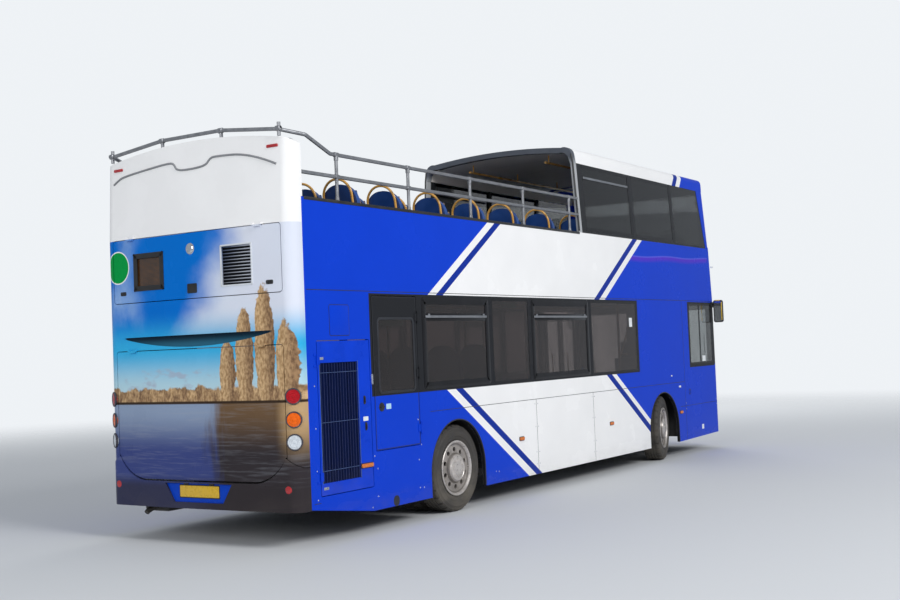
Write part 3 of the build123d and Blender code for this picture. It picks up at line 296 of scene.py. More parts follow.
side_paint = finish("side_paint", coat=0.03, shine=0.06)
s, y, z, _ = place(side_paint)
rising = s - (z - 2.38) * 1.512
upper = stripes(BLUE, rising, [(2.25, 2.41, WHITE), (2.41, 2.55, NAVY), (2.55, 6.31, WHITE), (6.31, 6.47, NAVY),
    (6.47, 6.64, WHITE)])
wave = z - (maths("SINE", s * 3.7) * 0.01 + 2.866 + s * 0.0235)
ribbon_end = fade(rising, 6.639, 6.641) * fade(s, 10.5, 10.78, 0.9, 0)
ribbon = fade(wave, -0.105, -0.03) * fade(wave, 0.008, -0.002)
upper = over(ribbon * ribbon_end, upper, (0.085, 0.03, 0.56))
upper = over(band(wave, -0.012, 0.006, 0.008) * (ribbon_end * 0.6), upper, (0.12, 0.16, 0.8))
falling = s + (z - 1.37) * 1.548
lower = stripes(BLUE, falling, [(2.55, 2.73, WHITE), (2.73, 2.88, NAVY), (2.88, 6.59, WHITE), (6.59, 6.76, NAVY),
    (6.76, 6.9, WHITE)])
colour = over(fade(z, 1.355, 1.357), lower, BLUE)
colour = over(fade(z, 2.39, 2.392), colour, upper)
dark_share = 0.0
for side, start, end in ((-1, 1.2, 7.73), (-1, 9.66, 11), (1, 1.2, 9.36), (1, 10.68, 11)):
    dark_share = maths("MAXIMUM", dark_share, fade(y, side * -0.01, side * 0.01) * band(s, start, end))
colour = over(dark_share * band(z, 1.352, 2.392), colour, CHARCOAL)
for arch_s, arch_z, radius in ARCHES:
    reach = distance(s - arch_s, maths("MAXIMUM", z - arch_z, 0))
    colour = over(fade(reach, radius, radius - 0.001), colour, CHARCOAL)
colour = over(fade(abs(y), 1.216, 1.215), colour, LINING)
weathered(side_paint, colour, 0.26, **PANEL, film=0.45, soil=0.14)
dress(side_paint, "side_right_lower", "side_left_lower", "side_right_upper", "side_left_upper", "emergency_door")

# Panel joints on the side walls: narrow sealed gaps between the skirt panels, with the rivet
# heads that hold the panels on.
HALF_WIDTH = 1.26
# Pieces are drawn one after the other in this mesh, by station from the rear bumper, y and z.
bm = bmesh.new()


def stuff(name, colour, gloss, patchy=0.05, patch=5.0, metal=0.0, coat=0.0, shine=0.5, **wear):
    """A weathered finish of one plain colour: how patchy, and patches to the metre."""
    return weathered(finish(name, metal=metal, coat=coat, shine=shine), colour, gloss, patchy, patch, **wear)


def facing(at, out, upward=(0, 0, 1)):
    """A placing whose Z looks out of a surface and whose Y goes up it."""
    z = Vector(out).normalized()
    x = Vector(upward).cross(z).normalized()
    return Matrix.Translation(at) @ Matrix((x, z.cross(x), z)).transposed().to_4x4()


def on_side(side, station, height, out=0.0):
    """A placing on a side wall: side -1 is the bus's right, 1 its left."""
    return facing((station, side * (HALF_WIDTH + out), height), (0, side, 0))


def ease(bm, geom, offset, segments=2, affect="EDGES"):
    """Rounds edges, or the corners of a sheet."""
    bmesh.ops.bevel(bm, geom=geom, offset=offset, segments=segments, affect=affect, profile=0.5, material=-1)


def block(bm, placing, width, height, depth, edge=0.0, segments=2):
    """A block with eased edges; its back lies on the placing and it stands out by depth."""
    size = Matrix.Diagonal((width, height, depth, 1))
    made = bmesh.ops.create_cube(bm, size=1.0, matrix=placing @ Matrix.Translation((0, 0, depth / 2)) @ size)
    if edge:
        ease(bm, list({e for v in made["verts"] for e in v.link_edges}), edge, segments)


def join(bm, part, placing=Matrix.Identity(4)):
    """Puts a finished part into a piece and lets the part go."""
    bmesh.ops.recalc_face_normals(part, faces=part.faces)
    part.transform(placing)
    spare = bpy.data.meshes.new("spare")
    part.to_mesh(spare)
    part.free()
    bm.from_mesh(spare)
    bpy.data.meshes.remove(spare)


def lathe(profile, steps, closed=False):
    """A mesh made of a profile of (radius, height) points spun round the Z axis."""
    part = bmesh.new()
    chain = [part.verts.new((radius, 0, height)) for radius, height in profile]
    edges = [part.edges.new(pair) for pair in zip(chain, chain[1:] + chain[:closed])]
    bmesh.ops.spin(part, geom=chain + edges, axis=(0, 0, 1), cent=(0, 0, 0), steps=steps, angle=math.tau,
        use_merge=True)
    bmesh.ops.remove_doubles(part, verts=part.verts, dist=1e-6)
    return part


def turned(bm, placing, profile, steps=32):
    """A turned part: a profile of (radius, height) points spun round the placing's Z."""
    join(bm, lathe(profile, steps), placing)


def piece(name, bm, m, body="bus_body", angle=35.0):
    """Makes a mesh a piece that rides on one of the bodies, and empties the mesh for the next piece."""
    bmesh.ops.recalc_face_normals(bm, faces=bm.faces)
    bm.transform(Matrix.Translation((REAR_X, 0, 0)))
    mesh = bpy.data.meshes.new(name)
    bm.to_mesh(mesh)
    bm.clear()
    mesh.shade_smooth()
    mesh.set_sharp_from_angle(angle=math.radians(angle))
    mesh.materials.append(m)
    made = shown(name, mesh)
    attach(made, body)
    return made


seal = stuff("joint_seal", (0.015, 0.017, 0.022), 0.5, 0.3)
# side, from (station, z), to (station, z)
JOINTS = [(-1, (2.23, 1.137), (9.42, 1.137)), (-1, (9.2, 0.756), (10.78, 0.756)), (-1, (9.42, 0.235), (9.42, 2.4)),
    (-1, (0.24, 0.4), (0.34, 0.4)), (1, (0.26, 1.137), (2.18, 1.137)), (1, (3.34, 1.137), (8, 1.137))]
for side, stations in ((-1, (6.165, 4.58)), (1, (4.4, 5.9, 7.4, 1.3))):
    JOINTS += [(side, (s, 0.225), (s, 1.137)) for s in stations]
for side, (s0, z0), (s1, z1) in JOINTS:
    block(bm, on_side(side, (s0 + s1) / 2, (z0 + z1) / 2, -0.001), max(s1 - s0, 0.006), max(z1 - z0, 0.006), 0.0018)
for side in (-1, 1):
    block(bm, on_side(side, 5.48, 2.412, -0.001), 10.5, 0.007, 0.0018)
piece("panel_joints", bm, seal)
rivets = [(-1, s, z) for s, z in ((1.252, 0.629), (1.246, 0.352), (1.146, 0.254), (1.206, 0.757), (2.041, 0.801),
    (1.988, 0.646), (1.988, 0.353), (2.063, 0.349), (3.554, 0.357), (3.62, 0.35), (1.997, 1.068), (0.3, 0.43),
    (0.3, 0.7), (0.3, 1.1), (0.3, 1.5))]
rivets += [(-1, s, z) for s in (4.545, 4.615, 6.13, 6.2) for z in (0.345, 0.49, 0.8, 1.08)]
rivets += [(-1, s, z) for z in (0.8, 0.71) for s in (9.44, 10.75)]
rivets += [(1, s, z) for s in (1.26, 4.36, 4.44, 5.86, 5.94, 7.36, 7.44) for z in (0.3, 0.66, 1.06)]
for side, s, z in rivets:
    turned(bm, on_side(side, s, z), [(0, 0.003), (0.005, 0.0025), (0.008, 0), (0, -0.001)], steps=10)
rivet_metal = stuff("rivet_metal", (0.45, 0.47, 0.5), 0.35, 0.2, 40, metal=0.8)
piece("panel_rivets", bm, rivet_metal)

# Small fittings of the right side: a filler flap over the radiator door, the door's two locks,
# straps and catch, and blank labels.


def plate(bm, placing, width, height, depth, radius, rim=0.0, edge=0.0):
    """A plate with rounded corners, or with a rim width only a frame, standing out by depth."""
    sheet = bmesh.new()
    bmesh.ops.create_grid(sheet, x_segments=1, y_segments=1, size=0.5, matrix=Matrix.Diagonal((width, height, 1, 1)))
    ease(sheet, list(sheet.verts), radius, 5, "VERTICES")
    face = max(sheet.faces, key=lambda f: f.calc_area())
    if rim:
        bmesh.ops.inset_region(sheet, faces=[face], thickness=rim, depth=0.0, use_boundary=True, use_even_offset=True)
        bmesh.ops.delete(sheet, geom=[face], context="FACES")
    made = bmesh.ops.extrude_face_region(sheet, geom=list(sheet.faces))
    raised = [v for v in made["geom"] if isinstance(v, bmesh.types.BMVert)]
    bmesh.ops.translate(sheet, vec=(0, 0, depth), verts=raised)
    if edge:
        top = [e for e in sheet.edges if all(v.co.z > depth - 1e-5 for v in e.verts) and e.calc_face_angle(0) > 1.0]
        ease(sheet, top, edge)
    join(bm, sheet, placing)


plate(bm, on_side(-1, 0.71, 2.121), 0.3, 0.293, 0.003, 0.015, edge=0.001)
piece("filler_flap", bm, side_paint)
black_trim = stuff("black_trim", (0.014, 0.014, 0.015), 0.42, 0.2, 9, grain=900.0)
plate(bm, on_side(-1, 0.71, 2.121, -0.0005), 0.312, 0.305, 0.0014, 0.02)
plate(bm, on_side(-1, 9.61, 0.97), 0.07, 0.085, 0.004, 0.02, rim=0.008, edge=0.002)
plate(bm, on_side(-1, 1.553, 0.272, -0.0005), 0.105, 0.108, 0.0012, 0.048)
piece("quarter_fittings", bm, black_trim)
for s, z in ((1.068, 1.328), (1.08, 1.067)):
    plate(bm, on_side(-1, s, z), 0.03, 0.085, 0.006, 0.014, edge=0.002)
    block(bm, on_side(-1, s, z, 0.005), 0.012, 0.055, 0.012, 0.004)
piece("radiator_door_locks", bm, black_trim, "grille_leaf")
label_white = stuff("label_white", (0.8, 0.82, 0.83), 0.35, 0.04, 20, coat=0.2)
plate(bm, on_side(-1, 10.1, 0.385), 0.085, 0.075, 0.0015, 0.004)
plate(bm, on_side(-1, 9.2, 1.07), 0.062, 0.03, 0.012, 0.012, edge=0.003)
plate(bm, on_side(-1, 8.893, 1.248), 0.035, 0.022, 0.008, 0.009, edge=0.003)
block(bm, on_side(-1, 10.815, 2.985, -0.004), 0.075, 0.028, 0.024, 0.008)
for s, z, width, height in ((7.48, 2.075, 0.1, 0.13), (10.29, 1.48, 0.13, 0.09)):
    plate(bm, on_side(-1, s, z, -0.002), width, height, 0.0012, 0.005)
piece("side_labels", bm, label_white)
plate(bm, on_side(-1, 1.08, 1.142), 0.08, 0.042, 0.0015, 0.004)
piece("radiator_door_label", bm, label_white, "grille_leaf")
for s, z in ((0.407, 1.757), (0.425, 0.527)):
    plate(bm, on_side(-1, s, z), 0.075, 0.026, 0.003, 0.005, edge=0.001)
piece("radiator_door_straps", bm, rivet_metal, "grille_leaf")
plate(bm, on_side(-1, 1.2055, 1.527), 0.024, 0.105, 0.01, 0.008, edge=0.003)
piece("door_catch", bm, rivet_metal)

# Side markers: small amber lamps on the skirt, each a ribbed lens in a black base. The wide one
# is on the radiator door and moves with it.
amber = stuff("amber_lens", (0.7, 0.17, 0.008), 0.18, 0.12, 30, coat=0.8)
# body, then side, station, z and width of each marker
MARKERS = {"bus_body": [(-1, 4.181, 0.683, 0.105), (-1, 6.7, 0.681, 0.105), (-1, 9.22, 0.672, 0.105),
    (1, 1.063, 0.68, 0.105), (1, 4.181, 0.683, 0.105), (1, 6.7, 0.681, 0.105), (1, 9.18, 0.672, 0.105)],
    "grille_leaf": [(-1, 1.073, 0.682, 0.19)]}
for body, markers in MARKERS.items():
    lenses, bases = bmesh.new(), bmesh.new()
    for side, s, z, width in markers:
        plate(lenses, on_side(side, s, z), width, 0.038, 0.016, 0.012, edge=0.004)
        plate(bases, on_side(side, s, z), width + 0.016, 0.052, 0.006, 0.014, edge=0.002)
        for i in range(5):
            block(lenses, on_side(side, s + (i - 2) * width / 6, z, 0.0155), 0.004, 0.026, 0.0015)
    piece(f"marker_lenses_{body}", lenses, amber, body)
    piece(f"marker_bases_{body}", bases, black_trim, body)

# Lower windows: tinted panes flush in the body with a black printed edge. The hopper panes
# have an aluminium bar a quarter of the way down and an opening light above it.
WINDOWS = {-1: [(2.135, 3.527), (3.587, 4.485), (4.545, 6.13), (6.19, 7.69)],
    1: [(1.24, 2.56), (2.62, 3.94), (4, 5.32), (5.38, 6.7), (6.76, 8.08), (8.14, 9.3)]}
HOPPERS = {-1: (0, 2), 1: (0, 2, 4)}
SILL, HEAD, BAR_Z = 1.37, 2.37, 2.152
printed_edge = stuff("printed_edge", (0.01, 0.01, 0.012), 0.16, 0.2, coat=0.08, shine=0.18)
bars = bmesh.new()
for side, panes in WINDOWS.items():
    for i, (s0, s1) in enumerate(panes):
        mid, width = (s0 + s1) / 2, s1 - s0
        plate(bm, on_side(side, mid, (SILL + HEAD) / 2, -0.002), width, HEAD - SILL, 0.0025, 0.045, rim=0.028)
        if i in HOPPERS[side]:
            plate(bm, on_side(side, mid, (SILL + HEAD) / 2, -0.001), width - 0.01, HEAD - SILL - 0.01, 0.004, 0.045,
                rim=0.078, edge=0.001)
            block(bm, on_side(side, mid, BAR_Z, -0.001), width - 0.1, 0.085, 0.0035, 0.001)
            block(bars, on_side(side, mid, BAR_Z + 0.004, 0.002), width - 0.13, 0.026, 0.012, 0.004)
            for end in (-1, 1):
                block(bars, on_side(side, mid + end * (width / 2 - 0.13), BAR_Z + 0.022, 0.004), 0.03, 0.026, 0.012,
                    0.003)
plate(bm, on_side(-1, 10.195, 1.8825, -0.002), 0.99, 0.965, 0.0025, 0.045, rim=0.028)
block(bm, on_side(-1, 10.15, 1.8825, -0.002), 0.035, 0.93, 0.005)
piece("window_edges", bm, printed_edge)
bar_metal = stuff("bar_metal", (0.28, 0.29, 0.31), 0.4, 0.12, 12, metal=0.7, grain=500.0)
piece("hopper_bars", bars, bar_metal)

# Glass: grey body-tinted in the saloon and round the canopy, clear in the screens and doors.
# Both carry faint wiping smears, so they are never quite even.


def glazing(name, tint, clear, gloss, shine=0.5, cab_tint=None):
    """Window glass of one tint, smeared a little; the pane by the driver may have its own tint."""
    m = finish(name, gloss=gloss, shine=shine)
    s, _, _, where = place(m)
    smear = fade(cloudy(where, 1.9, 5, (1, 1, 0.5)), 0.4, 0.7)
    shade = over(smear, tint, tuple(c * 0.88 for c in tint))
    if cab_tint:
        shade = over(fade(s, 9.5, 9.55), shade, cab_tint)
    rough = fade(cloudy(where, 6, 6), 0.45, 0.8, gloss, gloss * 4)
    feed_all(m.node_tree.nodes["Principled BSDF"], {"Transmission Weight": clear, "IOR": 1.45, "Base Color": shade,
        "Roughness": rough})
    return m


dress(glazing("tinted_glass", (0.15, 0.12, 0.115), 0.93, 0.012, shine=0.18, cab_tint=(0.34, 0.35, 0.35)),
    "glass_lower", "emergency_glass")
dress(glazing("canopy_glass", (0.02, 0.021, 0.022), 0.93, 0.012, shine=0.1), "glass_upper")
dress(glazing("clear_glass", (0.72, 0.77, 0.77), 0.96, 0.01, shine=0.25), "windscreen_lower", "windscreen_upper",
    "entry_front_glass", "entry_rear_glass")

# Emergency door: seals round its window and its edge, a turn handle and a blank pale label. Its
# hinges are in the CAD, and its colours are the side's.
plate(bm, on_side(-1, 1.65, 1.76, -0.002), 0.66, 0.78, 0.006, 0.055, rim=0.026, edge=0.002)
plate(bm, on_side(-1, 1.635, 1.586, -0.0005), 0.776, 1.548, 0.0012, 0.016, rim=0.006)
piece("emergency_seals", bm, seal, "emergency_leaf")
turned(bm, on_side(-1, 1.355, 1.24), [(0, 0.01), (0.03, 0.009), (0.044, 0.004), (0.046, 0), (0, -0.001)], 28)
block(bm, on_side(-1, 1.355, 1.24, 0.006), 0.07, 0.018, 0.014, 0.006)
piece("emergency_handle", bm, black_trim, "emergency_leaf")
plate(bm, on_side(-1, 1.475, 1.24), 0.085, 0.055, 0.0012, 0.006)
pale_blue = stuff("pale_blue_label", (0.45, 0.7, 0.85), 0.35, 0.04, 20, coat=0.2)
piece("emergency_label", bm, pale_blue, "emergency_leaf")

# Radiator door: a blue frame round upright navy slats, with fine horizontal wires in front.
grille_paint = finish("grille_paint", coat=0.03, shine=0.06)
s, y, z, _ = place(grille_paint)
opening = band(s, 0.3865, 0.9705) * band(z, 0.5765, 1.7135) * fade(abs(y), 1.2595, 1.2575)
weathered(grille_paint, over(opening, BLUE, (0.0024, 0.008, 0.05)), 0.32, 0.06, film=0.85, soil=0.2)
dress(grille_paint, "grille_door")
navy_wire = stuff("navy_wire", (0.01, 0.022, 0.11), 0.4, 0.1, 20, coat=0.2)
wire_blue = stuff("wire_blue", (0.05, 0.095, 0.24), 0.4, 0.2, 20, coat=0.1)
for i in range(14):
    block(bm, on_side(-1, 0.4055 + i * 0.042, 1.145, -0.005), 0.004, 1.13, 0.003)
piece("grille_uprights", bm, navy_wire, "grille_leaf")
for z in (0.69, 1.147, 1.62):
    block(bm, on_side(-1, 0.6785, z, -0.006), 0.58, 0.005, 0.004, 0.001)
for s in (0.381, 0.976):
    block(bm, on_side(-1, s, 1.145, -0.0005), 0.008, 1.155, 0.003, 0.001)
piece("grille_wires", bm, wire_blue, "grille_leaf")

# Rear face: a white top over a plain printed picture of sky, a bank of golden trees with four
# poplars, and water that darkens into the bumper. It carries no words, and the green disc is blank.
rear_print = finish("rear_print", coat=0.03, shine=0.06)
s, y, z, where = place(rear_print)
slant = y + (z - 2.5) * 0.55 + cloudy(where, 1.1, 6, (0.2, 1, 1.3)) * 0.9
sky_top = over(fade(slant, 0.02, 0.58), (0.7, 0.73, 0.82), (0, 0.155, 0.6))
haze = fade(cloudy(where, 1.9, 8, (0.2, 0.9, 0.6)), 0.5, 0.74, 0, 0.55)
sky_top = over(haze * fade(y, 0.55, 1.1, 0.25, 1), sky_top, (0.55, 0.72, 0.86))
sky_low = over(fade(z, 1.5, 1.92), (0.46, 0.66, 0.74), (0.035, 0.42, 0.74))
puffs = fade(cloudy(where, 3.4, 5, (0.2, 1, 2.4)), 0.55, 0.68, 0, 0.7)
sky_low = over(puffs * band(z, 1.5, 1.72, 0.05), sky_low, (0.38, 0.42, 0.52))
colour = over(fade(z, 1.9, 2.3), sky_low, sky_top)
leafy = fade(cloudy(where, 44, 4, (0.2, 1, 0.55)), 0.3, 0.7)
fringe = cloudy(where, 17, 5, (0.2, 1, 0.8))
lit_leaf = over(leafy, (0.36, 0.215, 0.1), (0.68, 0.46, 0.25))
shaded_leaf = over(leafy, (0.15, 0.085, 0.05), (0.36, 0.22, 0.115))
bank = over(fade(cloudy(where, 11, 4, (0.2, 1, 0.8)), 0.36, 0.64), shaded_leaf, lit_leaf)
skyline = 1.385 + cloudy(where, 5.5, 4, (0, 1, 0)) * 0.17 + fringe * 0.09
colour = over(fade(z - skyline, 0.012, -0.012), colour, bank)
# y, half width, foot and top of each poplar
for middle, half, foot, top in ((-0.43, 0.1, 1.34, 1.98), (-0.65, 0.11, 1.3, 2.28), (-0.9, 0.12, 1.26, 2.48),
        (-1.14, 0.11, 1.3, 2.12)):
    aside = (y - middle) / half
    climb = (z - (foot + top) / 2) / ((top - foot) / 2)
    crown = climb * climb + aside * aside + fringe
    leaf = over(fade(aside, -0.75, 0.45), shaded_leaf, lit_leaf)
    colour = over(fade(crown, 1.56, 1.42), colour, leaf)
ripple = cloudy(where, 5, 5, (0.2, 0.6, 9))
shaded = y + cloudy(where, 4, 4, (0.2, 1.8, 0.35)) * 0.55
open_water = over(fade(z, 0.86, 1.32), (0.046, 0.064, 0.21), (0.26, 0.33, 0.46))
tree_water = over(fade(z, 0.86, 1.34), (0.036, 0.03, 0.034), (0.16, 0.095, 0.05))
water = over(fade(shaded, 0.16, -0.06), open_water, tree_water)
water = over(fade(y, -0.98, -1.16) * fade(z, 0.75, 1.25), water, (0.52, 0.34, 0.17))
water = over(fade(ripple, 0.46, 0.74, 0, 0.16), water, (0.36, 0.38, 0.42))
colour = over(fade(z, 1.376, 1.37), colour, water)
colour = over(band(z, 1.362, 1.388, 0.006), colour, (0.045, 0.028, 0.018))
colour = stripes(colour, distance(y - 1.062, z - 2.765), [(-1, 0.17, WHITE), (-1, 0.158, (0, 0.31, 0.055))])
sunk = s - y * y * 0.0214
# Painted light and shade in the curved recess: lighter on its floor, near black under its overhanging top edge.
in_recess = band(z, 1.918, 2.046) * band(y, -1.065, 1.065) * fade(sunk, 0.0145, 0.0165)
recess_painted_shade = over(fade(z, 1.93, 2.03), (0.03, 0.14, 0.22), (0.004, 0.018, 0.035))
colour = over(in_recess, colour, recess_painted_shade)
# Painted shade: the deep parts of the vent between its slats are painted near black.
vent_painted_shade_mask = band(z, 2.49, 2.88) * band(y, -0.776, -0.392) * fade(sunk, 0.018, 0.034)
colour = over(vent_painted_shade_mask, colour, (0.01, 0.011, 0.014))
low_tone = over(fade(y, -0.45, 0.35), (0.034, 0.028, 0.031), (0.036, 0.038, 0.078))
colour = over(fade(z, 0.68, 0.54), colour, low_tone)
in_pocket = band(z, 0.404, 0.592) * band(y, -0.44, 0.44) * fade(s, 0.0255, 0.0275)
colour = over(in_pocket, colour, (0.004, 0.055, 0.5))
colour = over(fade(z, 3.043, 3.047), colour, WHITE)
colour = over(fade(s, 0.115, 0.118) * fade(abs(y), 1.216, 1.214), colour, LINING)
colour = over(fade(coordinates(rear_print, "Normal")[0], 0.3, 0.35), colour, LINING)
weathered(rear_print, colour, 0.28, **PANEL, film=0.6, soil=0.12)
dress(rear_print, "rear_body", "rear_top", "access_panel", "engine_hatch", "rear_bumper")


# Fittings of the rear face: a moulding across the white top, red corner markers, panel locks,
# a chrome dome, the vent's frame and the blank display's bezel.
REAR_BOW = 0.034
PANEL_LINE = 3.048


def tube(bm, points, radius, order=0, ring=3):
    """A round bar through points, straight from one to the next or as one smooth curve."""
    line = bpy.data.curves.new("line", "CURVE")
    line.dimensions = "3D"
    line.bevel_depth = radius
    line.bevel_resolution = ring
    line.use_fill_caps = True
    run = line.splines.new("NURBS" if order else "POLY")
    run.points.add(len(points) - 1)
    for point, at in zip(run.points, points):
        point.co = (*at, 1)
    if order:
        run.order_u = order
        run.use_endpoint_u = True
    carrier = bpy.data.objects.new("line", line)
    spare = bpy.data.meshes.new_from_object(carrier)
    bm.from_mesh(spare)
    bpy.data.meshes.remove(spare)
    bpy.data.objects.remove(carrier)
    bpy.data.curves.remove(line)


def on_rear(y, z, out=0.0):
    """A placing on the rear wall, which bows in plan and leans forward above the panel line."""
    lean = 0.04 * max(0, z - PANEL_LINE) / 0.912
    s = 0.012 + lean + REAR_BOW * (y / HALF_WIDTH) ** 2
    return facing((s - out, y, z), (-1, 0.054 * y / HALF_WIDTH, 0.044 if z > PANEL_LINE else 0.0))


MOULDING = [(1.113, 3.632), (1.05, 3.668), (0.972, 3.699), (0.62, 3.735), (0.265, 3.766), (0.215, 3.735),
    (0.183, 3.676), (-0.01, 3.668), (-0.212, 3.683), (-0.26, 3.74), (-0.317, 3.761), (-0.782, 3.736), (-1.09, 3.6)]
tube(bm, [on_rear(y, z, 0.001).translation for y, z in MOULDING], 0.011, order=3)
piece("rear_moulding", bm, stuff("moulding_grey", (0.23, 0.235, 0.245), 0.45, 0.1, 10))
red = stuff("red_lens", (0.42, 0.006, 0.01), 0.16, 0.12, 30, coat=0.8)
for side in (-1, 1):
    plate(bm, on_rear(side * 1.045, 3.775, -0.001), 0.135, 0.03, 0.01, 0.01, edge=0.003)
piece("rear_top_markers", bm, red)
for y, width, height in ((0.988, 0.085, 0.04), (-0.984, 0.085, 0.04), (-0.003, 0.13, 0.095)):
    plate(bm, on_rear(y, 2.494, -0.004), width, height, 0.008, 0.012, rim=0.01, edge=0.002)
    plate(bm, on_rear(y, 2.494, -0.004), width - 0.02, height - 0.02, 0.005, 0.008)
plate(bm, on_rear(0.6035, 2.699, -0.006), 0.437, 0.382, 0.012, 0.014, rim=0.052, edge=0.003)
for y in (0.43, 0.777):
    turned(bm, on_rear(y, 2.545, 0.006), [(0, 0.004), (0.007, 0.003), (0.009, 0), (0, -0.001)], 12)
piece("rear_fittings", bm, black_trim, "access_panel_lid")
dot_panel = finish("dot_panel", coat=0.5)
rows, columns = (fade(abs(maths("SINE", axis * 260.0)), 0.55, 0.85) for axis in place(dot_panel)[1:3])
weathered(dot_panel, over(rows * columns, (0.012, 0.01, 0.009), (0.2, 0.075, 0.012)), 0.2, 0.2, 8)
dress(dot_panel, "rear_display")
plate(bm, on_rear(-0.584, 2.685, -0.005), 0.4, 0.406, 0.011, 0.01, rim=0.017, edge=0.003)
white_trim = stuff("white_trim", (0.66, 0.69, 0.73), 0.35, 0.04, 10, coat=0.3)
piece("vent_frame", bm, white_trim, "access_panel_lid")
# A black plate behind the vent stands in for the shade inside it.
plate(bm, facing((0.072, -0.584, 2.685), (-1, 0, 0)), 0.4, 0.41, 0.006, 0.01)
piece("vent_painted_shade_plate", bm, black_trim, "access_panel_lid")
turned(bm, on_rear(0.012, 2.884, -0.03), [(0, 0.0405), (0.012, 0.04), (0.024, 0.0385), (0.034, 0.0358),
    (0.041, 0.0325), (0.043, 0.031), (0.054, 0.032), (0.057, 0.029), (0.057, 0), (0, 0)], 40)
chrome = stuff("chrome", (0.7, 0.7, 0.71), 0.1, 0.05, 30, metal=1.0)
piece("camera_dome", bm, chrome, "access_panel_lid")

# Rear lamps: three round clusters on each corner, red over amber over white, each with a
# moulded ring and a stepped lens.
lamp_lens = finish("rear_lamp_lens", coat=0.25, shine=0.35)
z = place(lamp_lens)[2]
colour = over(fade(z, 1.09, 1.11), (0.6, 0.64, 0.68), (0.8, 0.125, 0))
colour = over(fade(z, 1.3, 1.32), colour, (0.42, 0.002, 0.008))
weathered(lamp_lens, colour, 0.14, 0.12, 40)
dress(lamp_lens, "rear_lamps")
rings, lenses = bmesh.new(), bmesh.new()
LAMP_TURN = math.radians(31)
for side in (-1, 1):
    out = Vector((-math.cos(LAMP_TURN), side * math.sin(LAMP_TURN), 0))
    for z in (0.995, 1.203, 1.419):
        at = Vector((0.176, side * 1.13, z)) + out * 0.1425
        turned(rings, facing(at, out), [(0.066, -0.02), (0.066, 0.004), (0.071, 0.006), (0.077, 0.003),
            (0.079, -0.012), (0.066, -0.02)], 40)
        turned(lenses, facing(at, out), [(0, 0.0045), (0.012, 0.0045), (0.014, 0.002), (0.03, 0.002), (0.032, 0.0045),
            (0.046, 0.0042), (0.048, 0.0015), (0.062, 0.0008), (0.066, -0.004), (0, -0.01)], 40)
piece("lamp_rings", rings, stuff("ring_grey", (0.04, 0.036, 0.048), 0.3, 0.1, 20, coat=0.2))
piece("lamp_lenses", lenses, lamp_lens)

# Bumper fittings: round red reflectors, and a blank yellow number plate in a black holder with
# two small lamp housings above it.
NUMBER_PLATE = (0.52, 0.111, 0.004, 0.008)
for side in (-1, 1):
    y = side * 1.13
    at = Vector((REAR_BOW * (y / HALF_WIDTH) ** 2 + 0.003, y, 0.556))
    turned(bm, facing(at, (-1, side * 0.05, 0)), [(0, 0.006), (0.022, 0.006), (0.034, 0.004), (0.038, 0),
        (0.038, -0.01), (0, -0.01)], 32)
piece("bumper_reflectors", bm, red)
plate(bm, facing((0.028, 0, 0.51), (-1, 0, 0)), *NUMBER_PLATE, edge=0.001)
plate_yellow = stuff("plate_yellow", (0.72, 0.44, 0.015), 0.3, 0.06, 25, coat=0.3, chips=0.02)
piece("number_plate", bm, plate_yellow)
plate(bm, facing((0.0285, 0, 0.51), (-1, 0, 0)), 0.54, 0.131, 0.003, 0.012, edge=0.001)
for side in (-1, 1):
    block(bm, facing((0.024, side * 0.17, 0.585), (-1, 0, 0)), 0.06, 0.018, 0.014, 0.004)
piece("plate_holder", bm, black_trim)

# Front: body blue round the screens. It carries head lamps in black bezels, parked wipers, a
# blank destination glass, a lower grille and a blank white plate.
FRONT_BOW = 0.06
SCREEN_TOP = 2.42
HEADLAMP_Y, HEADLAMP_Z = 0.86, 0.62
front_paint = finish("front_paint", coat=0.03, shine=0.06)
s, y, z, _ = place(front_paint)
inner = s + y * y * 0.038 + maths("MAXIMUM", z - SCREEN_TOP, 0) * 0.0895
cabin_side = fade(inner, 10.896, 10.892) * fade(abs(y), 1.16, 1.15)
around = maths("MAXIMUM", band(z, 1.05, 2.4) * fade(abs(y), 1.192, 1.19), band(z, 1.375, 2.4))
colour = over(around, BLUE, CHARCOAL)
colour = over(cabin_side, colour, (0.06, 0.062, 0.066))
# Painted shade: four dark slots across the lower front stand in for the openings of the lower grille.
for low in (0.392, 0.432, 0.472, 0.512):
    colour = over(band(z, low, low + 0.02) * band(y, -0.525, 0.525), colour, (0.004, 0.006, 0.016))
weathered(front_paint, colour, 0.28, **PANEL | {"depth": 0.00015}, film=0.85, soil=0.2)
dress(front_paint, "front_lower", "front_upper", "front_posts")


def on_front(y, z, out=0.0):
    """A placing on the front wall, which bows in plan and leans back above the lower screen."""
    lean = 0.08 * max(0, z - SCREEN_TOP) / 0.89
    s = 10.93 - lean - FRONT_BOW * (y / HALF_WIDTH) ** 2
    return facing((s + out, y, z), (1, 0.095 * y / HALF_WIDTH, 0.09 if z > SCREEN_TOP else 0.0))


def bowed(bm):
    """Bends a flat part round the front wall's bow, in strips 60 mm wide."""
    for i in range(-20, 21):
        bmesh.ops.bisect_plane(bm, geom=bm.verts[:] + bm.edges[:] + bm.faces[:], plane_co=(0, i * 0.06, 0),
            plane_no=(0, 1, 0))
    for v in bm.verts:
        v.co.x -= FRONT_BOW * (v.co.y / HALF_WIDTH) ** 2


